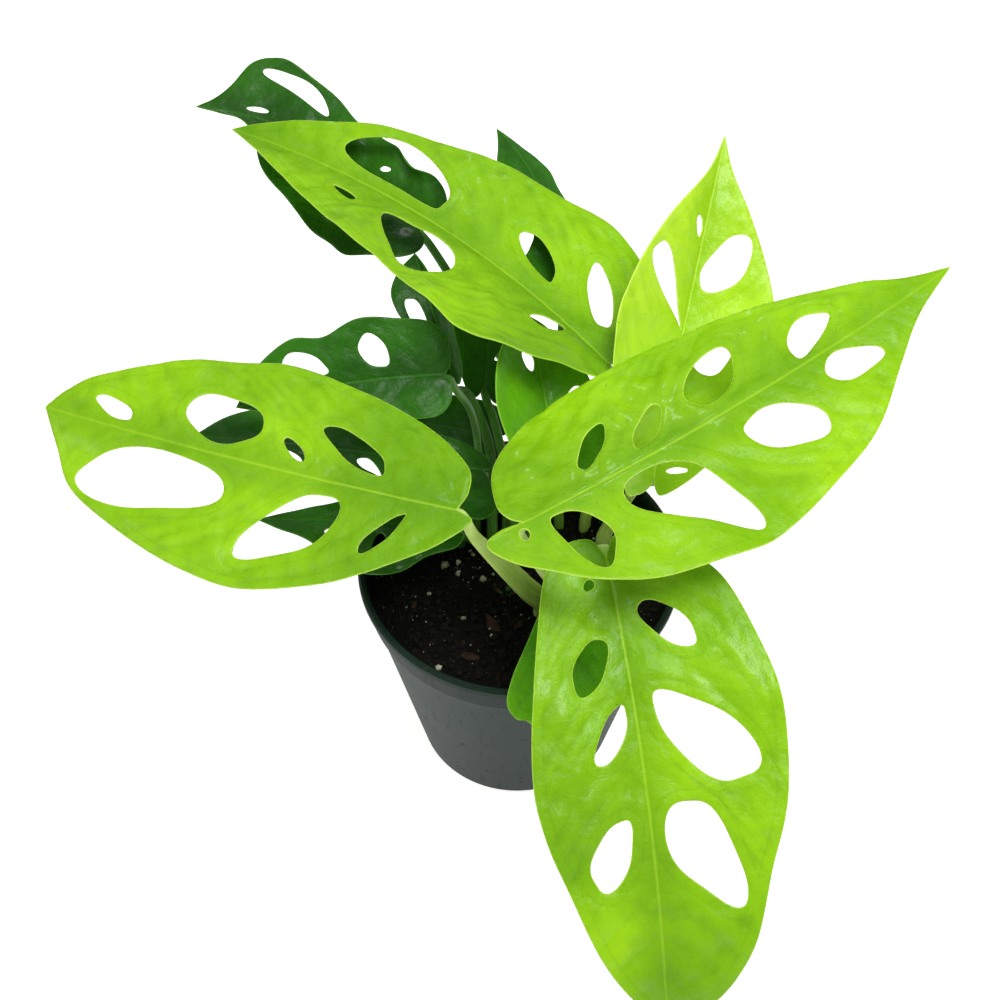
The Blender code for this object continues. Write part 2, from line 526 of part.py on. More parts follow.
def build_stalk(leaf):
    """A swept rod of oval section along the stalk's path."""
    path = stalk_path(leaf)
    heading = math.radians(leaf["heading"])
    wide = Vector((-math.sin(heading), math.cos(heading), 0))
    bm = bmesh.new()
    ring = None
    for number, (x, y, z, width, thickness) in enumerate(path):
        ahead = path[min(number + 1, len(path) - 1)][:3] - path[max(number - 1, 0)][:3]
        ahead = Vector((0, 0, 1)) if number < 2 else Vector(ahead).normalized()
        across = (wide - ahead * wide.dot(ahead)).normalized()
        other = ahead.cross(across)
        turned = Matrix((across, other, ahead)).transposed().to_4x4()
        place = Matrix.Translation((x, y, z)) @ turned @ Matrix.Diagonal((width / 2, thickness / 2, 1, 1))
        made = bmesh.ops.create_circle(bm, cap_ends=False, radius=1, segments=STALK_SIDES, matrix=place)
        new_ring = made["verts"]
        if ring:
            for k in range(STALK_SIDES):
                after = (k + 1) % STALK_SIDES
                bm.faces.new((ring[k], ring[after], new_ring[after], new_ring[k]))
        else:
            bm.faces.new(new_ring[::-1])
        ring = new_ring
    bm.faces.new(ring)
    bmesh.ops.recalc_face_normals(bm, faces=bm.faces)
    return bm


def build_leaf(name, leaf):
    corners, faces = flat_blade(leaf)
    along, left = corners.T
    middle = on_leaf(leaf, along, left)
    up = leaf_normals(leaf, along, left)
    share = np.clip(along / leaf["length"], 0, 1)
    on_rib = (np.abs(left) < 0.01) & (along > FIRST_SOUND) & (share < LAST_SOUND)
    rib = np.where(on_rib, RIB_DEEP + (RIB_SHALLOW - RIB_DEEP) * share, 0)
    top = middle + up * BLADE / 2
    bottom = middle - up * (BLADE / 2 + rib[:, None])

    bm = bmesh.new()
    upper = [bm.verts.new(point) for point in top]
    lower = [bm.verts.new(point) for point in bottom]
    for a, b, c in faces:
        bm.faces.new((upper[a], upper[b], upper[c]))
        bm.faces.new((lower[c], lower[b], lower[a]))
    sides = {(a, b) for face in faces for a, b in zip(face, np.roll(face, -1))}
    for a, b in sorted(sides):
        if (b, a) not in sides:
            bm.faces.new((upper[b], upper[a], lower[a]))
            bm.faces.new((upper[b], lower[a], lower[b]))
    blade = add_object(name, bm, leaf["finish"])
    apply_boolean(blade, "UNION", add_object(name + "_stalk", build_stalk(leaf)))
    blade.data.shade_smooth()
    blade.data.set_sharp_from_angle(angle=math.radians(SHARP_EDGE))


def main():
    clear_scene()
    build_pot()
    build_soil()
    for name, leaf in LEAVES.items():
        build_leaf(name, leaf)


main()
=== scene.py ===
# A monstera adansonii in its nursery pot, dressed for the render.
# The dictionaries give millimetres and degrees, as the part does; meshes are in metres.

import math
import random

import bmesh
import bpy
import numpy as np
from mathutils import Matrix, Vector, kdtree, noise


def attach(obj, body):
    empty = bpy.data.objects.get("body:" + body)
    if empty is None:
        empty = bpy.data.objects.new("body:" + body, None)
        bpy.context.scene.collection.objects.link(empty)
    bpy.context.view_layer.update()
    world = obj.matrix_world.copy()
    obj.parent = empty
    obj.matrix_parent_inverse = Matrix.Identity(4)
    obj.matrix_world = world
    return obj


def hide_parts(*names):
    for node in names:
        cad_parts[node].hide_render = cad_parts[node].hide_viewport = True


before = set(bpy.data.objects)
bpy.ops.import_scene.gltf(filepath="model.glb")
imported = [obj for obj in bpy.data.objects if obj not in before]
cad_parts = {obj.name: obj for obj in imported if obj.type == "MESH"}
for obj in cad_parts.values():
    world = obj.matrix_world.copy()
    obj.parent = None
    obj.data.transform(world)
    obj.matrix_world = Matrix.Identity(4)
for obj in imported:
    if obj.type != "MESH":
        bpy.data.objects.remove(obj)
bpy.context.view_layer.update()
mm = 0.001


# Shader helpers

class Wire:  # one output socket, so that sums on it become Math nodes

    def __init__(self, graph, socket):
        self.graph = graph
        self.socket = socket

    def math(self, operation, *others):
        return self.graph.add("ShaderNodeMath", {"operation": operation}, dict(enumerate((self,) + others)))

    def flipped(self, operation, other):
        return self.graph.add("ShaderNodeMath", {"operation": operation}, {0: other, 1: self})

    def __add__(self, other):
        return self.math("ADD", other)

    def __sub__(self, other):
        return self.math("SUBTRACT", other)

    def __mul__(self, other):
        return self.math("MULTIPLY", other)

    def __rsub__(self, other):
        return self.flipped("SUBTRACT", other)

    __radd__ = __add__
    __rmul__ = __mul__

    def size(self):
        return self.math("ABSOLUTE")

    def ramp(self, low, high):  # 0 at low, 1 at high, smooth between
        return self.graph.add("ShaderNodeMapRange", {"interpolation_type": "SMOOTHSTEP"},
                              {"Value": self, "From Min": low, "From Max": high})


class Graph:  # a material and the nodes it is made of

    def __init__(self, name):
        self.material = bpy.data.materials.new(name)
        self.material.use_nodes = True
        self.tree = self.material.node_tree
        self.shader = self.tree.nodes["Principled BSDF"]

    def add(self, kind, settings=None, sockets=None, output=0):
        node = self.tree.nodes.new(kind)
        for name, value in (settings or {}).items():
            setattr(node, name, value)
        for name, value in (sockets or {}).items():
            self.put(node.inputs[name], value)
        return Wire(self, node.outputs[output])

    def put(self, socket, value):
        if isinstance(value, Wire):
            self.tree.links.new(value.socket, socket)
        else:
            socket.default_value = value

    def surface(self, **values):  # sets the Principled shader's sockets, by names without spaces
        named = {socket.name.replace(" ", ""): socket for socket in self.shader.inputs}
        for name, value in values.items():
            self.put(named[name], value)
        return self.material

    def mix(self, factor, first, second):
        return self.add("ShaderNodeMix", {"data_type": "RGBA"}, {0: factor, 6: first, 7: second}, 2)

    def noise(self, where, scale, detail, rough):
        return self.add("ShaderNodeTexNoise", None,
                        {"Vector": where, "Scale": scale, "Detail": detail, "Roughness": rough})

    def part(self, vector, number):  # one number of a vector: 0, 1 or 2
        return self.add("ShaderNodeSeparateXYZ", None, {0: vector}, number)

    def place(self):
        return self.add("ShaderNodeTexCoord", None, None, "Object")

    def bump(self, height, distance, strength):
        return self.add("ShaderNodeBump", None,
                        {"Height": height, "Distance": distance, "Strength": strength})


def rgb(*screen):
    # red, green and blue as seen on screen, 0 to 255, made linear
    return (*(((c / 255 + 0.055) / 1.055) ** 2.4 if c > 10 else c / 3295 for c in screen), 1)


def addPiece(name, bm, materials, slot, *nodes):
    # a finished piece in metres that rides on the one body
    mesh = bpy.data.meshes.new(name)
    bm.to_mesh(mesh)
    bm.free()
    for material in materials:
        mesh.materials.append(material)
    mesh.shade_smooth()
    piece = bpy.data.objects.new(name, mesh)
    bpy.context.scene.collection.objects.link(piece)
    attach(piece, "root")
    if nodes:
        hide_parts(*nodes)
    return piece


def smoothCurve(points, step, lead=None):
    # points every step or so along a smooth curve through the given ones; lead is the point before the first
    points = np.array(points, float)
    first = 2 * points[0] - points[1] if lead is None else lead
    run = np.vstack([first, points, 2 * points[-1] - points[-2]])
    found = []
    for before, start, end, after in zip(run, run[1:], run[2:], run[3:]):
        count = max(2, math.ceil(np.linalg.norm((end - start)[:3]) / step))
        for t in np.linspace(0, 1, count, endpoint=False):
            found.append(0.5 * (2 * start + (end - before) * t
                                + (2 * before - 5 * start + 4 * end - after) * t ** 2
                                + (3 * start - before - 3 * end + after) * t ** 3))
    return np.array(found + [points[-1]])


# Leaves, with the part's own values. base is where the blade starts, heading and pitch are the way it
# sets out, and droop and sweep are how far the rib has bent down and turned left at the tip. roll and
# twist tip the blade over sideways, fold lifts its left and right halves from the rib, wave is the height
# and length of the ripple at the margin. curl rolls the right half up in one place: the most it turns,
# the distance from the rib where that starts, its growth along the leaf, and where along the leaf it
# starts and how long it is. left and right are the margins from base to tip, as distance along the rib
# and distance left of it. A hole is its middle, length, width, angle, taper and bow. stalk is the way up
# from the soil: x, y, z, width and thickness.

leaves = {
    "leaf_left": dict(
        base=(-19.4, -29.3, 153.3), heading=160, pitch=-6, droop=-3, sweep=-3, roll=-11, twist=-10,
        fold=(-3, -9), wave=(0.8, 36), length=143.6, half=39.7, finish="lime",
        left=[(0, 0), (-5.7, 2.8), (0, 10.4), (9.4, 18), (19.8, 25.5), (35.9, 34), (54.8, 39.7),
              (77.5, 38.7), (102, 32.1), (122.8, 23.6), (134.2, 11.3), (143.6, 0)],
        right=[(0, 0), (-0.9, -7.6), (2.8, -17), (17, -26.5), (37.8, -34), (64.3, -38.7), (90.7, -35),
               (115.3, -26.5), (132.3, -16.1), (139.9, -7.6), (143.6, 0)],
        holes=[(121, -6.6, 15, 5.7, -16, 0, 0), (84, -13.2, 27.4, 17, -7, 0.1, 0),
               (57.6, -8.5, 11.3, 3.8, -36, 0.1, 0), (38.7, -13.2, 27.4, 8.5, -26, 0, 0),
               (99.2, 14.2, 50, 19.8, 9, 0, -0.9), (50, 18, 35, 16, 41, -0.3, 0.9),
               (19.8, 12.3, 18, 4.7, 58, 0.4, 0)],
        stalk=[(7, -14, 84, 8, 4), (2, -17, 99, 8.5, 3.6), (-6, -22, 118, 7, 3.4),
               (-14, -27, 137, 4.5, 3)]),
    "leaf_top": dict(
        base=(28, 32, 153), heading=130, pitch=10, droop=11, sweep=23, roll=15, twist=-28,
        fold=(15, 11), wave=(0.8, 40), length=166, half=41, finish="lime",
        left=[(0, 0), (-4, 3), (-5, 10), (5, 25), (16, 36), (28, 43), (44, 42), (68, 36), (93, 30),
              (117, 22), (142, 11), (157, 4), (166, 0)],
        right=[(0, 0), (-5, -4), (-5, -13), (1, -26), (15, -36), (36, -41), (60, -37), (85, -32),
               (108, -26), (126, -20), (144, -12), (158, -5), (166, 0)],
        holes=[(102, -11, 43, 17, -5, 0.2, -2), (112, 9, 11, 3, -12, -0.5, 0),
               (76, 16, 38, 19, -20, -0.5, 0), (45, -13, 22, 8, -24, 0.3, 0),
               (21, -17, 26, 8, -40, 0.1, 0), (22, 8, 12, 7, 33, 0, 0)],
        stalk=[(23, 20, 84, 4.4, 3.8), (26, 26, 104, 4, 3.4), (28.5, 32, 126, 3.4, 3),
               (29, 34.5, 142, 3.2, 2.8)]),
    "leaf_right": dict(
        base=(0, -42, 163), heading=31, pitch=3, droop=-8, sweep=4, roll=-9, twist=17,
        fold=(-8, -8), wave=(0.8, 42), length=161, half=43, finish="lime",
        left=[(0, 0), (-3, 5), (-2, 13), (4, 26), (14, 35), (30, 41), (52, 41), (73, 39), (93, 34),
              (113, 27), (134, 16), (148, 6), (161, 0)],
        right=[(0, 0), (-7, 1), (-13, -1), (-12, -7), (-5, -17), (6, -28), (24, -37), (48, -43),
               (67, -42), (90, -36), (108, -29), (126, -17), (142, -7), (161, 0)],
        holes=[(111, 9, 20, 10, 25, 0, 1), (115, -8, 20, 10, -10, -0.2, 0), (77, 15, 25, 14, 36, 0.1, 0),
               (51, 11, 20, 7, 40, 0, 0), (33, 15, 21, 7, 43, 0.2, 0), (84, -14, 26, 15, -26, 0.1, 0),
               (46, -20, 42, 18, -52, -0.3, 2), (12, -14, 24, 13, 97, -0.1, -1), (-2, -4, 4, 3, 66, 0, 0)],
        stalk=[(15.5, -13, 84, 6, 3.8), (10.5, -17, 100, 5.5, 3.4), (5, -26, 122, 4.4, 3),
               (1, -36, 146, 3.6, 2.8)]),
    "leaf_front": dict(
        base=(25, -38, 142), heading=-78, pitch=-23, droop=33, sweep=-5, roll=5, twist=1,
        fold=(7, 6), wave=(0.8, 36), length=144, half=43, finish="lime",
        left=[(0, 0), (-6, 4), (-4, 12), (2, 22), (12, 32), (30, 39), (50, 43), (74, 41), (96, 34),
              (118, 27), (134, 16), (144, 0)],
        right=[(0, 0), (-6, -4), (-5, -13), (4, -20), (24, -26), (47, -31), (66, -33), (82, -31),
               (98, -26), (118, -19), (132, -11), (144, 0)],
        holes=[(23, 14, 20, 9, 45, -0.1, 0), (56, 19, 36, 17, 46, 0.2, 0), (90, 16, 35, 17, 27, -0.2, -1),
               (8, -7, 4, 3, -47, 0, 0), (32, -11, 18, 9, -30, 0.1, 0), (53, -8, 19, 7, -30, 0.1, 0),
               (88, -12, 22, 11, -24, 0.2, 0)],
        stalk=[(20, -7, 84, 5, 3.8), (21, -10, 102, 4.4, 3.4), (24, -21, 124, 4, 3),
               (25, -31, 137, 3.6, 2.8)]),
    "leaf_upright": dict(
        base=(44, 13, 120), heading=75, pitch=45, droop=8, sweep=-1, roll=23, twist=-1,
        fold=(30, 18), wave=(0.4, 32), length=113, half=30, finish="lime",
        left=[(0, 0), (-4, 1), (-7, 6), (-6, 12), (10, 20), (26, 27), (45, 31), (60, 28), (74, 22),
              (88, 13), (101, 4), (113, 0)],
        right=[(0, 0), (-4, -1), (-6, -4), (1, -12), (12, -20), (24, -26), (42, -30), (58, -28),
               (74, -22), (90, -13), (102, -5), (113, 0)],
        holes=[(61, 11, 30, 7, 37, 0.8, 0), (72, -9, 22, 12, -28, 0, -1), (82, 3, 7, 3, 18, 0.2, 0),
               (43, -10, 15, 13, 6, 0, 0), (3, -7, 7, 2, -76, 0, 0)],
        stalk=[(29, 13, 84, 5.4, 3.8), (31, 15, 92, 4.6, 3.4), (36, 17, 102, 3.6, 3),
               (41, 17, 112, 2.8, 2.6)]),
    "leaf_back_left": dict(
        base=(-35, 102, 150), heading=122, pitch=12, droop=8, sweep=54, roll=-6, twist=0,
        fold=(0, 25), wave=(0.6, 30), curl=(150, 5, 0.2, 8, 46), length=98, half=26, finish="dark",
        left=[(0, 0), (-7, 1), (-10, 6), (-8, 13), (-3, 20), (2, 28), (12, 30), (30, 31), (46, 27),
              (63, 21), (78, 4), (89, 1.5), (98, 0)],
        right=[(0, 0), (-4, -4), (-3, -11), (4, -15), (16, -15), (31, -13), (42, -13), (52, -17),
               (62, -20), (74, -24), (82, -20), (87, -10), (92, -4), (98, 0)],
        holes=[(65, -14.5, 27, 6, -17, 0.1, -1), (76, -3, 8, 2, 6, 0, 0), (24, -5, 4, 2, 30, 0, 0)],
        stalk=[(4, 14, 84, 4, 3.6), (4, 28, 91, 3.6, 3.2), (3, 62, 101, 3.4, 3), (-14, 84, 121, 3.2, 3),
               (-29, 97, 142, 3, 2.8)]),
    "leaf_back": dict(
        base=(15, 67, 147), heading=88, pitch=17, droop=12, sweep=38, roll=0, twist=0,
        fold=(10, 8), wave=(0.6, 26), length=79, half=16, finish="dark",
        left=[(0, 0), (-5, 2), (-5, 8), (4, 13), (14, 14), (21, 10.5), (28, 8), (42, 9), (54, 10.5),
              (62, 10), (70, 5.5), (79, 0)],
        right=[(0, 0), (-4, -2), (-4, -6), (4, -7.5), (18, -8), (32, -8), (44, -6), (52, -6),
               (59, -4.5), (66, -2.5), (79, 0)],
        holes=[(55, 5, 5, 3.5, 20, 0, 0)],
        stalk=[(9, 21, 84, 3.6, 3.2), (10, 30, 100, 3.4, 3), (12, 46, 122, 3.2, 2.8),
               (14.5, 61, 139, 3, 2.6)]),
    "leaf_mid_left": dict(
        base=(-24, 32, 148), heading=-177, pitch=0, droop=20, sweep=0, roll=-35, twist=0,
        fold=(6, 12), wave=(0.6, 24), length=70, half=18, finish="dark",
        left=[(0, 0), (-2, 4), (-1, 10), (4, 14), (16, 14), (32, 12), (48, 9), (61, 4), (70, 0)],
        right=[(0, 0), (-2, -4), (-1, -11), (4, -17), (14, -19), (26, -20), (37, -16), (47, -17),
               (58, -12), (65, -5), (70, 0)],
        holes=[(22, -9, 12, 8, -59, 0.1, 0), (44, -8, 15, 7, -25, 0.2, 0), (38, 4.8, 8, 2.6, 12, 0, 0)],
        stalk=[(-14, 18, 84, 4, 3.6), (-14, 26, 96, 3.6, 3.2), (-13.5, 35, 109, 3.2, 3),
               (-16, 37, 125, 3, 2.8), (-21, 34, 139, 3, 2.6)]),
    "leaf_mid": dict(
        base=(11, 15, 128), heading=103, pitch=51, droop=30, sweep=0, roll=20, twist=0,
        fold=(20, 20), wave=(0.4, 24), length=47, half=20, finish="mid",
        left=[(0, 0), (-4, 3), (-4, 11), (3, 19), (12, 23), (24, 23), (34, 17), (42, 8), (47, 0)],
        right=[(0, 0), (-6, -2), (-9, -7), (-9, -13), (-4, -18.5), (4, -20), (12, -18), (24, -15),
               (34, -10), (42, -5), (47, 0)],
        holes=[(31, 4.5, 7, 5, 20, 0, 0), (16, -8, 12, 4, -35, 0, 0)],
        stalk=[(14, 20, 84, 3.6, 3.2), (13.5, 20, 96, 3.4, 3), (13, 18, 112, 3, 2.8)]),
    "leaf_back_low": dict(
        base=(-11.5, 56.5, 117), heading=83, pitch=36, droop=10, sweep=0, roll=0, twist=0,
        fold=(10, 10), wave=(0.4, 22), length=56, half=13, finish="dark",
        left=[(0, 0), (-4, 2), (-4, 5), (4, 9), (14, 13), (24, 14), (34, 11), (46, 4), (56, 0)],
        right=[(0, 0), (-4, -2), (-6, -5), (-2, -8), (10, -10), (24, -10), (38, -7), (48, -3), (56, 0)],
        holes=[(11, -5, 6, 2.5, -50, 0, 0)],
        stalk=[(-0.5, 7, 84, 3.4, 3), (-3, 26, 97, 3.2, 3), (-8, 46, 109, 3, 2.6)]),
    "leaf_centre": dict(
        base=(-12, 22, 112), heading=171, pitch=5, droop=10, sweep=0, roll=0, twist=0,
        fold=(4, 4), wave=(0.6, 30), length=100, half=22, finish="dark",
        left=[(0, 0), (-3, 4), (-7, 12), (-6, 18), (-2, 22), (8, 21.5), (24, 19), (46, 14.5),
              (66, 10.5), (84, 5), (100, 0)],
        right=[(0, 0), (-3, -2), (-1, -5), (4, -8), (16, -12), (38, -14), (58, -15), (76, -14),
               (90, -9), (100, 0)],
        holes=[(37, 6.5, 12, 4, -40, 0.5, 0), (64, 5.5, 9, 3, -25, 0.3, 0)],
        stalk=[(-19, 13, 84, 4, 3.6), (-18, 14, 95, 3.6, 3.2), (-14.5, 17, 106, 3, 2.8)]),
    "leaf_under_left": dict(
        base=(-22, 0, 108), heading=173, pitch=1, droop=10, sweep=0, roll=0, twist=0,
        fold=(4, 4), wave=(0.8, 22), length=66, half=22, finish="dark",
        left=[(0, 0), (-4, 2), (-2, 8), (6, 13), (14, 20), (24, 23), (33, 21), (41, 13), (50, 7),
              (58, 4), (66, 0)],
        right=[(0, 0), (-3, -2), (-2, -7), (8, -10), (20, -11), (32, -10), (42, -7), (52, -4), (66, 0)],
        holes=[(23, 9, 9, 4, 85, -0.2, 0), (38, 4, 8, 3, 15, 0, 0)],
        stalk=[(-13, 11.5, 84, 3.6, 3.2), (-15, 8, 92, 3.4, 3), (-18, 3, 101, 3, 2.6)]),
    "leaf_back_low_left": dict(
        base=(-22, 48, 128), heading=108, pitch=30, droop=10, sweep=0, roll=0, twist=0,
        fold=(0, 60), wave=(0.4, 20), length=48, half=14, finish="dark",
        left=[(0, 0), (-2, 3), (2, 7), (10, 9), (20, 9), (28, 12), (36, 12), (43, 7), (48, 0)],
        right=[(0, 0), (-2, -3), (3, -7), (12, -8), (22, -8), (32, -6), (41, -3), (48, 0)],
        holes=[(24, 5.5, 17, 5, 9, 0.3, 0)],
        stalk=[(-9, 5.5, 84, 4, 3.6), (-9, 23, 94, 3.6, 3.2), (-10, 42, 102, 3.6, 3),
               (-17, 51, 118, 3.4, 2.8)]),
    "leaf_hidden": dict(
        base=(-7, 50, 98), heading=170, pitch=8, droop=14, sweep=0, roll=-10, twist=0,
        fold=(6, 6), wave=(0.4, 24), length=46, half=13, finish="dark",
        left=[(0, 0), (-3, 2), (-3, 7), (4, 12), (14, 13), (26, 11), (37, 5), (46, 0)],
        right=[(0, 0), (-3, -2), (-3, -7), (4, -12), (14, -13), (26, -11), (37, -5), (46, 0)],
        holes=[],
        stalk=[(-5, 11, 84, 3.4, 3), (-4, 22, 89, 3.2, 2.8), (-5, 38, 93, 3, 2.6)]),
    "leaf_rim": dict(
        base=(12.5, -29.5, 109), heading=-92, pitch=-15, droop=45, sweep=0, roll=0, twist=0,
        fold=(4, 4), wave=(0.4, 22), length=49, half=17, finish="mid",
        left=[(0, 0), (-5, 2), (-8, 7), (-7, 13), (0, 15), (7, 15.5), (14, 17), (23, 18), (31, 16),
              (38, 9), (43, 5), (49, 0)],
        right=[(0, 0), (-1, -2), (4, -6), (14, -10), (24, -14), (33, -16), (38, -13), (39, -9),
               (45, -4), (49, 0)],
        holes=[],
        stalk=[(14, -20, 84, 3.4, 3), (14, -21, 92, 3.2, 2.8), (13, -26, 103, 3, 2.6)]),
}

# Leaf blades

bladeLook = {
    "grid": 1.15,  # width of the mesh's squares
    "margin": 1.0,  # distance of points on the margin and round the holes
    "ribRows": (0.35, 0.8, 1.4),  # finer rows of squares beside the rib
    "firstRow": 2.2,  # where the even rows start
    "thick": 0.6,
    "ribDeep": 1.7,
    "ribShallow": 0.3,
    "ribWide": 1.5,
    "ribGroove": 0.4,  # the rib's sunk line on the upper side
    "grooveWide": 0.8,
    "veinGap": 0.115,  # distance of side veins, as a share of the leaf's length
    "veinGapLeast": 8.0,
    "veinLean": 0.75,
    "veinCurve": 0.6,
    "veinSlant": 0.84,  # how wide a leaning vein is across, to its width along the rib
    "veinDepth": 0.14,
    "veinWide": 1.5,
    "quilt": 0.024,  # rise between two side veins, as a share of their distance
    "quiltWidest": 16.0,
    "hemDepth": 0.16,  # the vein that runs along the margin
    "hemPlace": 3.4,
    "hemWide": 0.7,
    "hemLeast": 25.0,  # leaves narrower than this have none
    "uneven": 1.0,
    "unevenSize": 15.0,
    "puckers": 1.35,
    "puckerSize": 7.5,
}
bendSteps = {"rib": 41, "half": 16}  # the rib's stations, and each half's slices
beyond = 60.0  # vein marks past the leaf's ends


def holeLoop(hole, step):
    # the outline of one hole, an egg with a slightly ragged edge
    x, y, length, width, angle, taper, bow = hole
    count = max(14, round((length + width) * 1.5 / step))
    turn = np.linspace(0, math.tau, count, endpoint=False)
    along = length / 2 * np.cos(turn)
    across = width / 2 * np.sin(turn) * (1 + taper * np.cos(turn)) + bow * (1 - 2 * np.cos(turn) ** 2)
    ragged = 1 + 0.045 * np.sin(3 * turn + x) + 0.025 * np.sin(5 * turn + y)
    along, across = along * ragged, across * ragged
    c, s = math.cos(math.radians(angle)), math.sin(math.radians(angle))
    return np.column_stack([x + along * c - across * s, y + along * s + across * c])


def marginLoop(leaf, step):
    left = smoothCurve(leaf["left"], step)
    right = smoothCurve(leaf["right"], step)
    return np.vstack([left, right[::-1][1:-1]])


def onLeaf(leaf, along, left):
    # bends flat blade points into place, as the part does
    along, left = np.asarray(along, float), np.asarray(left, float)
    length = leaf["length"]
    share = np.linspace(0, 1, bendSteps["rib"])
    heading = np.radians(leaf["heading"] + leaf["sweep"] * share)
    pitch = np.radians(leaf["pitch"] - leaf["droop"] * share)
    way = np.column_stack([np.cos(heading) * np.cos(pitch), np.sin(heading) * np.cos(pitch), np.sin(pitch)])
    steps = (way[1:] + way[:-1]) / 2 * length / (len(share) - 1)
    rib = np.vstack([[0, 0, 0], np.cumsum(steps, axis=0)]) + leaf["base"]

    t = np.clip(along / length, 0, 1)
    middle = np.column_stack([np.interp(t, share, rib[:, k]) for k in range(3)])
    ahead = np.column_stack([np.interp(t, share, way[:, k]) for k in range(3)])
    ahead /= np.linalg.norm(ahead, axis=1, keepdims=True)
    middle += ahead * (along - t * length)[:, None]
    heading = np.radians(leaf["heading"] + leaf["sweep"] * t)
    side = np.column_stack([-np.sin(heading), np.cos(heading), np.zeros_like(t)])
    up = np.cross(ahead, side)
    roll = np.radians(leaf["roll"] + leaf["twist"] * t)[:, None]
    side, up = side * np.cos(roll) + up * np.sin(roll), up * np.cos(roll) - side * np.sin(roll)

    reach = np.abs(left)
    out, lift = np.zeros_like(reach), np.zeros_like(reach)
    slices = bendSteps["half"]
    for number in range(slices):
        here = reach * (number + 0.5) / slices
        angle = np.where(left > 0, leaf["fold"][0], leaf["fold"][1]).astype(float)
        if "curl" in leaf:
            most, start, growth, begin, wavelength = leaf["curl"]
            rolled = most * np.maximum(0, np.sin(math.tau * (along - begin) / wavelength))
            rolled *= np.clip((here - start - growth * along) / 8, 0, 1.2)
            angle += np.where(left < 0, rolled, 0)
        out += np.cos(np.radians(angle)) * reach / slices
        lift += np.sin(np.radians(angle)) * reach / slices
    height, wavelength = leaf["wave"]
    lift += height * (reach / leaf["half"]) ** 2 * np.sin(math.tau * along / wavelength
                                                         + np.where(left > 0, 0, 1.7))
    return middle + side * (out * np.sign(left))[:, None] + up * lift[:, None]


def bladeUp(leaf, along, left):
    # the way the blade faces, from points a little ahead, behind and to both sides
    step = 0.4
    ahead = onLeaf(leaf, along + step, left) - onLeaf(leaf, along - step, left)
    side = onLeaf(leaf, along, left + step) - onLeaf(leaf, along, left - step)
    up = np.cross(ahead, side)
    return up / np.linalg.norm(up, axis=1, keepdims=True)


def veinLean(leaf, reach):
    # how far a side vein has run towards the tip when it is this far from the rib
    half = leaf["half"]
    return bladeLook["veinLean"] * reach + bladeLook["veinCurve"] * half * (reach / half) ** 3


def veinRoots(leaf, side):
    # where one side's veins leave the rib: between the holes, and evenly where there are none
    length = leaf["length"]
    spacing = max(bladeLook["veinGapLeast"], length * bladeLook["veinGap"])
    spans = []
    for hole in leaf["holes"]:
        if hole[1] * side > 0:
            loop = holeLoop(hole, bladeLook["margin"])
            roots = loop[:, 0] - veinLean(leaf, np.abs(loop[:, 1]))
            spans.append((roots.min() + 0.5, roots.max() - 0.5))
    spans = sorted(spans) + [(length + 8, length + 9)]
    roots = [-beyond]
    done = -22.0  # how far behind the base the lowest veins would start
    for low, high in spans:
        if low > done:
            count = max(0, round((low - done) / spacing))
            roots += list(np.linspace(done, low, count + 2)) if count else [(low + done) / 2]
        done = max(done, high)
    return np.array(sorted(set(roots)) + [length + beyond])


def relief(leaf, along, left, edge, roots):
    # height of the quilted blade over the bent sheet, with its sunk veins
    look = bladeLook
    reach = np.abs(left)
    root = along - veinLean(leaf, reach)
    rise = np.zeros_like(along)
    for side, here in ((1, left > 0), (-1, left <= 0)):
        marks = roots[side]
        k = np.clip(np.searchsorted(marks, root[here]) - 1, 0, len(marks) - 2)
        low, high = marks[k], marks[k + 1]
        share = np.clip((root[here] - low) / (high - low), 0, 1)
        fade = np.clip(reach[here] / 6, 0, 1) * np.clip(edge[here] / 4, 0, 1)
        swell = np.minimum(high - low, look["quiltWidest"]) * look["quilt"]
        rise[here] = np.sin(math.pi * share) * swell * fade
        near = np.minimum(root[here] - low, high - root[here]) * look["veinSlant"] / look["veinWide"]
        rise[here] -= look["veinDepth"] * np.exp(-near ** 2) * np.clip(edge[here] / 2, 0, 1)
    share = np.clip(along / leaf["length"], 0, 1)
    rise -= look["ribGroove"] * (1 - 0.7 * share) * np.exp(-(left / look["grooveWide"]) ** 2) * (along > 0)
    if leaf["half"] > look["hemLeast"]:
        hem = np.exp(-((edge - look["hemPlace"]) / look["hemWide"]) ** 2)
        rise -= look["hemDepth"] * hem * np.clip(reach / 6, 0, 1)
    return rise


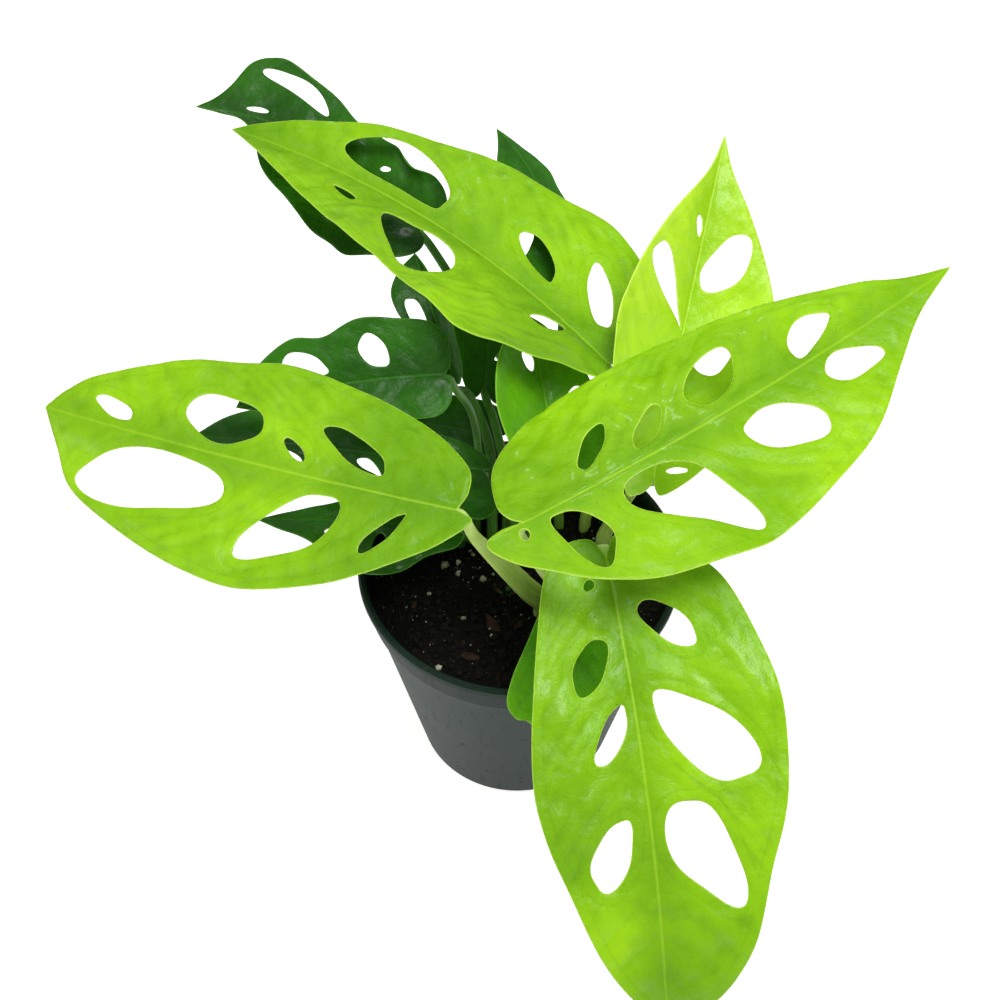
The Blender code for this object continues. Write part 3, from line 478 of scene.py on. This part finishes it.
def flatBlade(leaf):
    # the blade's flat sheet, cut into small squares, with its holes open
    bm = bmesh.new()
    step = bladeLook["margin"]
    loops = [marginLoop(leaf, step)] + [holeLoop(hole, step) for hole in leaf["holes"]]
    for loop in loops:
        corners = [bm.verts.new((x, y, 0)) for x, y in loop]
        for start, end in zip(corners, corners[1:] + corners[:1]):
            bm.edges.new((start, end))
    bmesh.ops.triangle_fill(bm, use_beauty=True, edges=bm.edges[:])
    bm.faces.ensure_lookup_table()
    if bm.faces[0].normal.z < 0:
        bmesh.ops.reverse_faces(bm, faces=bm.faces)
    inner = [edge for edge in bm.edges if not edge.is_boundary]
    bmesh.ops.dissolve_limit(bm, angle_limit=0.01, verts=[], edges=inner)
    pitch = bladeLook["grid"]
    low, high = loops[0].min(axis=0), loops[0].max(axis=0)
    cuts = [((at, 0, 0), (1, 0, 0)) for at in np.arange(low[0] + pitch / 2, high[0], pitch)]
    cuts += [((0, side * at, 0), (0, 1, 0)) for at in bladeLook["ribRows"] for side in (-1, 1)]
    cuts += [((0, 0, 0), (0, 1, 0))]
    cuts += [((0, at, 0), (0, 1, 0)) for at in np.arange(bladeLook["firstRow"], high[1], pitch)]
    cuts += [((0, -at, 0), (0, 1, 0)) for at in np.arange(bladeLook["firstRow"], -low[1], pitch)]
    for spot, facing in cuts:
        bmesh.ops.bisect_plane(bm, geom=bm.verts[:] + bm.edges[:] + bm.faces[:], dist=0.001,
                               plane_co=spot, plane_no=facing)
    bmesh.ops.triangulate(bm, faces=[face for face in bm.faces if len(face.verts) > 4])
    return bm, loops


def makeBlade(name, leaf):
    # the sheet with its two maps, given an underside, a relief and a rib, and bent into place
    look = bladeLook
    bm, loops = flatBlade(leaf)
    roots = {side: veinRoots(leaf, side) for side in (1, -1)}
    tree = kdtree.KDTree(sum(len(loop) for loop in loops))
    for number, (x, y) in enumerate(np.vstack(loops)):
        tree.insert((x, y, 0), number)
    tree.balance()

    flatMap = bm.loops.layers.uv.new("flat")
    veinMap = bm.loops.layers.uv.new("veins")
    edgeLayer = bm.verts.layers.float.new("edge")
    for vert in bm.verts:
        vert[edgeLayer] = tree.find(vert.co)[2] if not vert.is_boundary else 0.0
    for face in bm.faces:
        side = 1 if face.calc_center_median().y > 0 else -1
        for loop in face.loops:
            x, y, _ = loop.vert.co
            loop[flatMap].uv = (x * 0.01, y * 0.01)
            vein = np.interp(x - veinLean(leaf, abs(y)), roots[side], range(len(roots[side])))
            loop[veinMap].uv = (vein, loop.vert[edgeLayer] * 0.1)

    under = bmesh.ops.extrude_face_region(bm, geom=bm.faces[:], use_keep_orig=True)["geom"]
    for part in under:
        if isinstance(part, bmesh.types.BMVert):
            part.co.z = -1.0
        elif isinstance(part, bmesh.types.BMFace):
            part.material_index = 1
    bm.verts.ensure_lookup_table()
    flat = np.array([vert.co for vert in bm.verts])
    along, left, layer = flat.T
    edge = np.array([vert[edgeLayer] for vert in bm.verts])
    rise = relief(leaf, along, left, edge, roots)
    seed = Vector((len(name) * 7.1, leaf["length"], leaf["half"]))
    rough = np.array([noise.noise(Vector((x, y, 0)) / look["unevenSize"] + seed) for x, y in flat[:, :2]])
    small = np.array([noise.noise(Vector((x, y, 4)) / look["puckerSize"] + seed) for x, y in flat[:, :2]])
    rough = look["uneven"] * rough + look["puckers"] * small * np.clip(edge / 5, 0.2, 1)
    rise += rough * np.clip(np.abs(left) / 5, 0, 1)

    share = np.clip(along / leaf["length"], 0, 1)
    ribDepth = look["ribDeep"] + (look["ribShallow"] - look["ribDeep"]) * share
    rib = ribDepth * np.exp(-(left / (look["ribWide"] * (1 - 0.6 * share))) ** 2)
    rib *= np.clip((along + 1) / 3, 0, 1) * np.clip((leaf["length"] - along) / 6, 0, 1)
    thick = look["thick"] * (0.55 + 0.45 * np.clip(edge / 1.2, 0, 1))
    height = np.where(layer < -0.5, -thick / 2 - rib, thick / 2) + rise
    placed = onLeaf(leaf, along, left) + bladeUp(leaf, along, left) * height[:, None]
    for vert, spot in zip(bm.verts, placed):
        vert.co = spot * mm
    bmesh.ops.recalc_face_normals(bm, faces=bm.faces)
    return bm


# Leaf stalks

stalkLook = {
    "foot": 79.0, "free": 86.0, "step": 2.5, "sides": 20, "channel": 0.3,
    "meet": (-1.0, 7.0),  # where the top end runs, along the rib
    "drop": (2.1, 1.7),  # and how far below the blade
    "neck": 0.9, "end": (2.2, 1.6),  # share of the last width at the blade's base, and the end's own
}


def stalkRun(leaf):
    # x, y, z, width and thickness from the soil to under the blade
    x, y, _, width, thickness = leaf["stalk"][0]
    below, under = onLeaf(leaf, stalkLook["meet"], [0.0, 0.0])
    last = leaf["stalk"][-1]
    neck = stalkLook["neck"]
    way = [(x, y, stalkLook["free"], width, thickness)] + list(leaf["stalk"][1:])
    way.append((*below[:2], below[2] - stalkLook["drop"][0], last[3] * neck, last[4] * neck))
    way.append((*under[:2], under[2] - stalkLook["drop"][1], *stalkLook["end"]))
    way = np.array(way)
    lead = way[1].copy()
    lead[2] = 2 * way[0][2] - way[1][2]
    buried = np.array([(x, y, stalkLook["foot"], width, thickness)])
    return np.vstack([buried, smoothCurve(way, stalkLook["step"], lead)])


def makeStalk(leaf, materialIndex):
    # a grid rolled into a tube along the stalk's way, with a shallow channel down its upper side
    run = stalkRun(leaf)
    sides = stalkLook["sides"]
    heading = math.radians(leaf["heading"])
    wide = np.array([-math.sin(heading), math.cos(heading), 0])
    ahead = np.gradient(run[:, :3], axis=0)
    ahead[:2] = (0, 0, 1)
    ahead /= np.linalg.norm(ahead, axis=1, keepdims=True)
    across = wide - ahead * (ahead @ wide)[:, None]
    across /= np.linalg.norm(across, axis=1, keepdims=True)
    other = np.cross(ahead, across)

    bm = bmesh.new()
    flatMap = bm.loops.layers.uv.new("flat")
    veinMap = bm.loops.layers.uv.new("veins")
    bmesh.ops.create_grid(bm, x_segments=sides, y_segments=len(run) - 1, size=0.5)
    for face in bm.faces:
        face.material_index = materialIndex
        for loop in face.loops:
            turn, share = loop.vert.co.x + 0.5, loop.vert.co.y + 0.5
            loop[flatMap].uv = (turn, share * len(run) * stalkLook["step"] * 0.01)
            loop[veinMap].uv = (share, 0)
    for vert in bm.verts:
        k = round((vert.co.y + 0.5) * (len(run) - 1))
        turn = math.tau * (vert.co.x + 0.5)
        side, lift = math.cos(turn), math.sin(turn)
        lift *= 1 - stalkLook["channel"] * (lift > 0) * (1 - side ** 2)
        vert.co = (run[k][:3] + across[k] * side * run[k][3] / 2 + other[k] * lift * run[k][4] / 2) * mm
    bmesh.ops.remove_doubles(bm, verts=bm.verts, dist=0.00001)
    ends = [edge for edge in bm.edges if edge.is_boundary]
    for face in bmesh.ops.holes_fill(bm, edges=ends, sides=sides)["faces"]:
        face.material_index = materialIndex
    bmesh.ops.recalc_face_normals(bm, faces=bm.faces)
    return bm


def makeLeaf(name, leaf):
    # one leaf: its blade and its stalk in one piece
    look = finishes[paintedLitTones.get(name, leaf["finish"])]
    materials = [look["top"], look["under"], stalkMaterials[leaf["finish"]]]
    bm = makeBlade(name, leaf)
    stalk = bpy.data.meshes.new(name + "Stalk")
    tube = makeStalk(leaf, 2)
    tube.to_mesh(stalk)
    tube.free()
    bm.from_mesh(stalk)
    bpy.data.meshes.remove(stalk)
    return addPiece(name + "_grown", bm, materials, look["slot"], name)


# Leaf finishes

# glow is painted light: a faint glow standing in for light passing through the leaf
leafFinish = {
    "lime": {
        "slot": "leaf_bright", "rough": 0.38, "glow": 0.02, "gloss": 0.1,
        "blade": (124, 180, 0), "fresh": (148, 202, 8), "deep": (72, 128, 0),
        "line": (170, 212, 50), "rim": (184, 220, 80), "under": (154, 200, 50),
    },
    # painted light: fresh and lit are brighter copies of lime for the leaves that the light catches, lit also
    # with more painted glow
    "fresh": {
        "slot": "leaf_bright", "rough": 0.38, "glow": 0.04, "gloss": 0.2,
        "blade": (134, 190, 0), "fresh": (162, 214, 8), "deep": (80, 138, 0),
        "line": (172, 216, 46), "rim": (196, 228, 86), "under": (168, 214, 60),
    },
    "lit": {
        "slot": "leaf_bright", "rough": 0.36, "glow": 0.14, "gloss": 0.1,
        "blade": (152, 198, 22), "fresh": (174, 214, 46), "deep": (118, 172, 4),
        "line": (190, 222, 80), "rim": (204, 232, 104), "under": (180, 218, 76),
    },
    "mid": {
        "slot": "leaf_middle", "rough": 0.36, "glow": 0.04, "gloss": 0.1,
        "blade": (84, 152, 0), "fresh": (104, 172, 4), "deep": (50, 112, 0),
        "line": (120, 178, 30), "rim": (140, 190, 56), "under": (118, 170, 46),
    },
    "dark": {
        "slot": "leaf_dark", "rough": 0.4, "glow": 0.01, "gloss": 0.1,
        "blade": (34, 96, 0), "fresh": (58, 134, 2), "deep": (14, 54, 2),
        "line": (54, 118, 26), "rim": (88, 142, 50), "under": (72, 124, 44),
    },
}
paintedLitTones = {"leaf_right": "fresh", "leaf_upright": "lit"}  # painted light: brighter lit copies of the lime finish, for the leaves that the light catches
bladePattern = {  # how fine each pattern is
    "drift": 24.0, "patch": 90.0, "dimples": 150.0, "broad": 14.0, "cells": 48.0, "specks": 1100.0,
    "fine": 1500.0, "gloss": 34.0,
}
bladeShare = {  # how far each pattern turns the blade's colour; the shade ones, hem, vein and border paint shade and highlight into it
    "fresh": 0.8, "patch": 0.18, "broad": 0.42, "under": 0.72, "beside": 0.4, "nearStalk": 0.42,
    "valley": 0.2, "net": 0.04, "vein": 0.04, "veinBelow": 0.3, "dimples": 0.15, "hem": 0.12, "rib": 0.4,
    "ribBelow": 0.9, "border": 0.6, "specks": 0.45,
}
speckColour = (40, 60, 10)


def bladeMaterial(name, look, underside):
    # the maps give the place on the flat blade, the number of the side vein and the way to the margin
    graph = Graph(name)
    fine, share = bladePattern, bladeShare
    colour = {key: rgb(*look[key]) for key in ("blade", "fresh", "deep", "line", "rim", "under")}
    place = graph.place()
    flat = graph.add("ShaderNodeUVMap", {"uv_map": "flat"})
    veins = graph.add("ShaderNodeUVMap", {"uv_map": "veins"})
    along = graph.part(flat, 0) * 100
    reach = (graph.part(flat, 1) * 100).size()
    number = graph.part(veins, 0)
    edge = graph.part(veins, 1) * 10

    drift = graph.noise(place, fine["drift"], 3.0, 0.5)
    patch = graph.noise(place, fine["patch"], 4.0, 0.6)
    dimples = graph.noise(place, fine["dimples"], 2.0, 0.45)
    broad = graph.noise(place, fine["broad"], 1.0, 0.4)
    rib = (1 - reach.ramp(0.15, 0.65)) * (1 - along.ramp(40, 170) * 0.6)
    beside = 1 - reach.ramp(1.0, 13.0)
    nearStalk = 1 - along.ramp(4.0, 52.0)
    offVein = (number - number.math("ROUND")).size()
    vein = (1 - offVein.ramp(0.0, 0.07)) * reach.ramp(0.4, 3.0)
    valley = (1 - offVein.ramp(0.0, 0.46)) * reach.ramp(1.0, 5.0) * edge.ramp(0.5, 4.0)
    hem = 1 - (edge - bladeLook["hemPlace"]).size().ramp(0.1, 0.6)
    # painted highlight: border is a thin band along the margin and the holes' edges, painted in the pale rim
    # colour where the rounded edge catches light; it also roughens the edge
    border = 1 - edge.ramp(0.05, 0.5)
    cells = graph.add("ShaderNodeTexVoronoi", {"feature": "DISTANCE_TO_EDGE"},
                      {"Vector": flat, "Scale": fine["cells"]})
    net = 1 - cells.ramp(0.0, 0.14)
    specks = graph.noise(place, fine["specks"], 1.0, 0.5).ramp(0.755, 0.79)

    body = graph.mix(drift.ramp(0.34, 0.68) * share["fresh"], colour["blade"], colour["fresh"])
    body = graph.mix(patch.ramp(0.48, 0.78) * share["patch"], body, colour["deep"])
    body = graph.mix(broad.ramp(0.46, 0.7) * share["broad"], body, colour["deep"])
    if underside:
        body = graph.mix(share["under"], body, colour["under"])
    # painted shade: a darker band along the rib, where the blade folds
    body = graph.mix(beside * share["beside"], body, colour["deep"])
    # painted shade: darker towards the blade's base by the stalk
    body = graph.mix(nearStalk * share["nearStalk"], body, colour["deep"])
    # painted shade: darker in the valleys along the sunk side veins
    body = graph.mix(valley * patch.ramp(0.36, 0.62) * share["valley"], body, colour["deep"])
    body = graph.mix(net * share["net"], body, colour["line"])
    if underside:
        body = graph.mix(vein * share["veinBelow"], body, colour["line"])
    else:
        # painted shade: on the upper side the sunk side veins are darkened
        body = graph.mix(vein * share["vein"], body, colour["deep"])
    # painted shade: darker in the dimples' hollows, where the bump below sinks
    body = graph.mix((1 - dimples.ramp(0.32, 0.52)) * share["dimples"], body, colour["deep"])
    # painted shade: darker along the sunk vein near the margin
    body = graph.mix(hem * share["hem"], body, colour["deep"])
    body = graph.mix(rib * share["ribBelow" if underside else "rib"], body, colour["line"])
    # painted highlight along the margin and the holes' edges
    body = graph.mix(border * share["border"], body, colour["rim"])
    body = graph.mix(specks * share["specks"], body, rgb(*speckColour))

    skin = graph.noise(place, fine["fine"], 2.0, 0.5)
    height = net * -0.10 + patch * 0.9 + vein * -0.08 + skin * 0.05 + dimples * 3.2
    normal = graph.bump(height, 0.0006, 0.7)
    rough = look["rough"] + patch * 0.10 + (0.18 if underside else 0.0) + border * 0.1
    gloss = 0.0
    if not underside:
        gloss = graph.noise(place, fine["gloss"], 2.0, 0.5).ramp(0.5, 0.6) * look["gloss"]
    # painted light: every blade glows faintly in its own colour, standing in for light passing through the
    # leaf
    return graph.surface(BaseColor=body, Roughness=rough, Normal=normal, SpecularIORLevel=0.22,
                         CoatWeight=gloss, CoatRoughness=0.1,
                         EmissionColor=body, EmissionStrength=look["glow"])


def stalkMaterial(name, base, pale):
    # ribbed lengthwise: 14 ribs go round
    graph = Graph(name)
    place = graph.place()
    turn = graph.part(graph.add("ShaderNodeUVMap", {"uv_map": "flat"}), 0)
    ribs = (turn * 88).math("SINE")
    drift = graph.noise(place, 60.0, 3.0, 0.5)
    body = graph.mix(drift.ramp(0.3, 0.7), rgb(*base), rgb(*pale))
    body = graph.mix(ribs.ramp(0.0, 1.0) * 0.35, body, rgb(*pale))
    normal = graph.bump(ribs, 0.00012, 0.6)
    return graph.surface(BaseColor=body, Roughness=0.42 + drift * 0.1, Normal=normal, SpecularIORLevel=0.3)


stalkFinish = {
    "lime": ("paleStalk", (158, 186, 78), (192, 212, 122)),
    "mid": ("greenStalk", (108, 156, 46), (146, 184, 84)),
    "dark": ("deepStalk", (58, 106, 34), (88, 138, 54)),
}
stalkMaterials = {finish: stalkMaterial(*look) for finish, look in stalkFinish.items()}
finishes = {}
for finish, look in leafFinish.items():
    finishes[finish] = {
        "slot": look["slot"],
        "top": bladeMaterial(finish + "Blade", look, False),
        "under": bladeMaterial(finish + "Underside", look, True),
    }

for name, leaf in leaves.items():
    makeLeaf(name, leaf)
print("leaves grown:", len(leaves))


# Pot

potLook = {
    "sides": 128, "foot": 35.0, "footRound": 1.2, "height": 92.0,
    "step": 79.0, "stepRadius": 50.5, "stepOut": 1.2, "stepRise": 1.0,
    "rim": 54.0, "lipHeight": 2.8, "lipOut": 0.8, "lipRound": 0.7, "wall": 1.6, "floor": 3.0,
    "drains": 6, "drainRadius": 3.5, "drainCircle": 24.0, "drainSides": 32, "drainDeep": 12.0,
    "sharp": 40.0,  # edges that turn further than this stay crisp
}
potColours = {
    "dim": (3, 22, 20), "pale": (9, 30, 27), "lip": (18, 38, 28), "scuff": (58, 72, 68), "dirt": (16, 14, 12),
}


def potMaterial():
    # satin plastic with faint scuffs up its side, and dirt specks that are densest near the foot
    graph = Graph("pottedPlastic")
    colour = {key: rgb(*screen) for key, screen in potColours.items()}
    place = graph.place()
    height = graph.part(place, 2) * 1000
    drift = graph.noise(place, 30.0, 4.0, 0.6)
    grain = graph.noise(place, 2600.0, 2.0, 0.5)
    stretched = graph.add("ShaderNodeMapping", None, {0: place, 3: (1.0, 1.0, 0.12)})
    scuffs = graph.noise(stretched, 420.0, 3.0, 0.6).ramp(0.56, 0.74)
    lip = height.ramp(88.9, 89.4)
    low = 1 - height.ramp(14.0, 62.0)
    dirt = graph.noise(place, 330.0, 3.0, 0.6).ramp(0.66, 0.70)
    spots = graph.noise(place, 620.0, 2.0, 0.5).ramp(0.70, 0.74)
    crust = dirt * low + spots * 0.7
    dirty = crust.math("MINIMUM", 1.0)
    body = graph.mix(drift.ramp(0.3, 0.7), colour["dim"], colour["pale"])
    # painted light: a lighter, greener band over the rim's top, where light falls on it
    body = graph.mix(lip * 0.85, body, colour["lip"])
    body = graph.mix(scuffs * 0.12, body, colour["scuff"])
    body = graph.mix(dirty, body, colour["dirt"])
    rough = 0.5 + drift * 0.12 + dirty * 0.4 + scuffs * 0.1
    normal = graph.bump(grain * 0.3 + crust * 0.8 + drift, 0.0003, 0.5)
    return graph.surface(BaseColor=body, Roughness=rough, Normal=normal, SpecularIORLevel=0.16)


def cutDrains(piece):
    # six round holes through the floor, in a ring
    look = potLook
    bm = bmesh.new()
    for number in range(look["drains"]):
        turn = math.tau * number / look["drains"]
        spot = Vector((math.cos(turn), math.sin(turn), 0)) * look["drainCircle"] * mm
        radius = look["drainRadius"] * mm
        bmesh.ops.create_cone(bm, segments=look["drainSides"], cap_ends=True, radius1=radius, radius2=radius,
                              depth=look["drainDeep"] * mm, matrix=Matrix.Translation(spot))
    mesh = bpy.data.meshes.new("drains")
    bm.to_mesh(mesh)
    bm.free()
    cutter = bpy.data.objects.new("drains", mesh)
    bpy.context.scene.collection.objects.link(cutter)
    cut = piece.modifiers.new("drains", "BOOLEAN")
    cut.object = cutter
    cut.solver = "EXACT"
    ready = bpy.context.evaluated_depsgraph_get()
    piece.data = bpy.data.meshes.new_from_object(piece.evaluated_get(ready))
    piece.modifiers.clear()
    bpy.data.objects.remove(cutter)


def spinRound(outline, sides):
    # turns a line of radius and height points about the middle axis
    bm = bmesh.new()
    corners = [bm.verts.new((radius * mm, 0, height * mm)) for radius, height in outline]
    for start, end in zip(corners, corners[1:]):
        bm.edges.new((start, end))
    bmesh.ops.spin(bm, geom=bm.verts[:] + bm.edges[:], cent=(0, 0, 0), axis=(0, 0, 1), angle=math.tau,
                   steps=sides, use_merge=True)
    bmesh.ops.remove_doubles(bm, verts=bm.verts, dist=0.00001)
    return bm


def makePot():
    look = potLook
    foot, step, stepRadius, wall = look["foot"], look["step"], look["stepRadius"], look["wall"]
    rim, height, lipRound = look["rim"], look["height"], look["lipRound"]
    slope = (stepRadius - foot) / step
    lipFoot = height - look["lipHeight"]
    belowLip = rim - look["lipOut"]
    outline = [(0, 0), (foot - look["footRound"], 0), (foot, look["footRound"]),
               (stepRadius, step), (stepRadius + look["stepOut"], step + look["stepRise"]),
               (belowLip, lipFoot), (rim, lipFoot + 0.3), (rim, height - lipRound), (rim - lipRound, height),
               (belowLip - wall + 0.5, height), (belowLip - wall, height - 0.5),
               (stepRadius + look["stepOut"] - wall, step + 1.4), (stepRadius - wall, step - 0.6),
               (foot - wall + slope * look["floor"], look["floor"]), (0, look["floor"])]
    bm = spinRound(outline, look["sides"])
    bmesh.ops.recalc_face_normals(bm, faces=bm.faces)
    piece = addPiece("pot_moulded", bm, [potMaterial()], "pot", "pot")
    cutDrains(piece)
    piece.data.set_sharp_from_angle(angle=math.radians(look["sharp"]))


makePot()
print("pot turned")


# Soil

soilLook = {
    "rings": 74, "sides": 220, "radius": 50.6, "top": 84.0, "edge": 83.0, "clump": 1.3, "crumb": 0.9,
    "clumpSize": 9.0, "lumpSize": 4.2, "crumbSize": 1.9,
    "base": 62.0, "baseRadius": 47.1,  # the buried underside
}


def soilHeight(x, y):
    look = soilLook
    spot = Vector((x, y, 0))
    reach = math.hypot(x, y) / look["radius"]
    height = look["top"] + (look["edge"] - look["top"]) * reach ** 4
    clod = noise.noise(spot / look["clumpSize"]) + 0.5 * noise.noise(spot / look["lumpSize"])
    height += look["clump"] * clod
    return height + look["crumb"] * noise.noise(spot / look["crumbSize"])


def soilMaterial():
    graph = Graph("peat")
    place = graph.place()
    clump = graph.noise(place, 260.0, 6.0, 0.65)
    fibre = graph.noise(place, 1300.0, 4.0, 0.7)
    body = graph.mix(clump.ramp(0.45, 0.8), rgb(7, 6, 7), rgb(28, 21, 19))
    body = graph.mix(fibre.ramp(0.62, 0.78) * 0.35, body, rgb(74, 52, 40))
    normal = graph.bump(clump + fibre * 0.4, 0.0012, 0.9)
    return graph.surface(BaseColor=body, Roughness=0.95 - clump * 0.2, Normal=normal, SpecularIORLevel=0.15)


def makeSoil():
    look = soilLook
    radii = np.linspace(0, look["radius"], look["rings"])
    outline = [(radius, look["top"]) for radius in radii]
    outline += [(look["baseRadius"], look["base"]), (0, look["base"])]
    bm = spinRound(outline, look["sides"])
    for vert in bm.verts:
        if vert.co.z > (look["base"] + 1) * mm:
            vert.co.z = soilHeight(vert.co.x / mm, vert.co.y / mm) * mm
    bmesh.ops.recalc_face_normals(bm, faces=bm.faces)
    addPiece("soil_peat", bm, [soilMaterial()], "soil", "soil")


def grainMaterial(name, first, second, rough):
    graph = Graph(name)
    place = graph.place()
    patch = graph.noise(place, 400.0, 3.0, 0.6)
    body = graph.mix(patch.ramp(0.35, 0.7), rgb(*first), rgb(*second))
    normal = graph.bump(patch, 0.0004, 0.7)
    return graph.surface(BaseColor=body, Roughness=rough + patch * 0.1, Normal=normal, SpecularIORLevel=0.2)


grainKinds = {  # count, smallest and largest across, flatness, length, two colours, roughness
    "soil_crumbs": (1500, 0.7, 2.6, 0.75, 1.2, (7, 6, 7), (26, 20, 18), 0.8),
    "soil_bark": (34, 1.0, 2.8, 0.35, 2.2, (34, 21, 17), (60, 38, 28), 0.7),
    "soil_perlite": (52, 0.6, 1.5, 0.9, 1.1, (140, 134, 120), (192, 186, 172), 0.7),
    "soil_grit": (420, 0.25, 0.6, 0.9, 1.1, (96, 84, 70), (176, 168, 150), 0.6),
}
seenGrains = {  # the ones that stand out, by kind: x, y, across
    "soil_perlite": ((-20.5, 4.5, 2.2), (-25, 3.5, 3.0), (-20.5, 0.5, 2.2), (-12, -2.4, 2.4),
                     (-26.5, -38, 2.2), (-15.5, 8.5, 1.7), (-18.5, -19, 1.8), (-9, -26, 1.6),
                     (-30, -8, 1.5)),
    "soil_bark": ((-8.5, -22.5, 5.0), (-16, -34, 3.4), (6, -30, 3.0)),
}
grainLook = {
    "seed": 11, "clear": 2.5, "mostlySmall": 2.2,  # clear is the bare ring along the pot's wall
    "tilt": 0.35, "lift": 0.22, "lumpy": 0.3,
}


def scatterGrains(name, kind, seed):
    # lumpy grains strewn over the soil top, and the seen ones in their places
    count, small, large, flat, long, first, second, rough = kind
    look = grainLook
    draw = random.Random(seed)
    bm = bmesh.new()
    spots = list(seenGrains.get(name, ()))
    for _ in range(count):
        reach = (soilLook["radius"] - look["clear"]) * math.sqrt(draw.random())
        turn = draw.uniform(0, math.tau)
        size = small + (large - small) * draw.random() ** look["mostlySmall"]
        spots.append((reach * math.cos(turn), reach * math.sin(turn), size))
    for x, y, size in spots:
        turn = draw.uniform(0, math.tau)
        tilt = Matrix.Rotation(turn, 4, Vector((draw.gauss(0, look["tilt"]), draw.gauss(0, look["tilt"]), 1)))
        spot = Matrix.Translation(Vector((x, y, soilHeight(x, y) + size * flat * look["lift"])) * mm)
        scale = Matrix.Diagonal((size * long / 2 * mm, size / 2 * mm, size * flat / 2 * mm, 1))
        made = bmesh.ops.create_icosphere(bm, subdivisions=1, radius=1, matrix=spot @ tilt @ scale)
        for vert in made["verts"]:
            push = 1 + look["lumpy"] * draw.uniform(-1, 1)
            vert.co = spot.translation + (vert.co - spot.translation) * push
    piece = addPiece(name, bm, [grainMaterial(name + "Colour", first, second, rough)], "soil")
    piece.data.shade_flat()


seedling = {  # each leaf: how far its middle is from the foot, and its width
    "place": (-4.5, -9.5), "tall": 3.2, "stagger": 0.5, "thread": (0.22, 0.16), "thick": 0.16,
    "leaves": ((-1.6, -0.9, 1.5), (0.9, 1.1, 2.0), (1.7, -0.7, 1.6)),
}


def makeSeedling():
    # three tiny round leaves on leaning threads
    x, y = seedling["place"]
    lower, upper = seedling["thread"]
    ground = soilHeight(x, y)
    foot = Vector((x, y, ground - 0.5))
    bm = bmesh.new()
    for number, (dx, dy, across) in enumerate(seedling["leaves"]):
        top = Vector((x + dx, y + dy, ground + seedling["tall"] - seedling["stagger"] * number))
        lean = (top - foot).to_track_quat("Z", "Y").to_matrix().to_4x4()
        length = (top - foot).length
        middle = Matrix.Translation((top + foot) / 2 * mm)
        bmesh.ops.create_cone(bm, segments=8, radius1=lower * mm, radius2=upper * mm, depth=length * mm,
                              cap_ends=True, matrix=middle @ lean)
        tilt = Matrix.Rotation(math.radians(20 + 25 * number), 4, Vector((dy, -dx, 0.2)))
        scale = Matrix.Diagonal((across / 2 * mm, across / 2.3 * mm, seedling["thick"] * mm, 1))
        bmesh.ops.create_uvsphere(bm, u_segments=20, v_segments=10, radius=1,
                                  matrix=Matrix.Translation(top * mm) @ tilt @ scale)
    colour = grainMaterial("seedlingGreen", (26, 70, 24), (40, 96, 34), 0.5)
    addPiece("soil_seedling", bm, [colour], "soil")


makeSoil()
for number, (name, kind) in enumerate(grainKinds.items()):
    scatterGrains(name, kind, grainLook["seed"] + number)
makeSeedling()
print("soil filled")


# Studio

camera = {"place": (-9.5, -361.2, 553.5), "aim": (-9.5, 0, 123), "lens": 63.0, "sensor": 36.0}
lamps = {  # place and aim in millimetres, width, height, power
    "ceiling": ((220, -260, 1080), (0, 0, 90), 420, 420, 9.5),
    "window": ((-760, -160, 640), (0, 0, 90), 360, 360, 1.8),
    "sparkle": ((-150, 720, 940), (0, 0, 110), 200, 140, 1.1),
}
studio = {"floorWide": 12.0, "floorShade": 0.88, "floorGlow": 0.75, "sky": 0.31}  # the width is in metres


def turnTo(obj, place, aim):
    obj.location = Vector(place) * mm
    obj.rotation_euler = (Vector(aim) - Vector(place)).to_track_quat("-Z", "Y").to_euler()


def makeStudio():
    # the camera that the photo was fitted to, three soft lamps, a glowing floor and a white sky
    data = bpy.data.cameras.new("camera")
    data.lens = camera["lens"]
    data.sensor_fit = "VERTICAL"
    data.sensor_height = camera["sensor"]
    data.clip_start = 0.01
    eye = bpy.data.objects.new("camera", data)
    bpy.context.scene.collection.objects.link(eye)
    turnTo(eye, camera["place"], camera["aim"])
    bpy.context.scene.camera = eye

    for name, (place, aim, width, height, power) in lamps.items():
        light = bpy.data.lights.new(name, "AREA")
        light.shape = "RECTANGLE"
        light.size = width * mm
        light.size_y = height * mm
        light.energy = power
        lamp = bpy.data.objects.new(name, light)
        bpy.context.scene.collection.objects.link(lamp)
        turnTo(lamp, place, aim)

    bm = bmesh.new()
    bmesh.ops.create_grid(bm, x_segments=1, y_segments=1, size=studio["floorWide"] / 2)
    mesh = bpy.data.meshes.new("floor")
    bm.to_mesh(mesh)
    bm.free()
    shade = (studio["floorShade"],) * 3 + (1,)
    mesh.materials.append(Graph("paleFloor").surface(
        BaseColor=shade, Roughness=0.9, EmissionColor=(1, 1, 1, 1), EmissionStrength=studio["floorGlow"]))
    floor = bpy.data.objects.new("floor", mesh)
    bpy.context.scene.collection.objects.link(floor)

    world = bpy.data.worlds.new("studio")
    world.use_nodes = True
    background = world.node_tree.nodes["Background"].inputs
    background["Color"].default_value = (1, 1, 1, 1)
    background["Strength"].default_value = studio["sky"]
    bpy.context.scene.world = world
    bpy.context.scene.view_settings.view_transform = "Standard"


makeStudio()
print("studio lit")
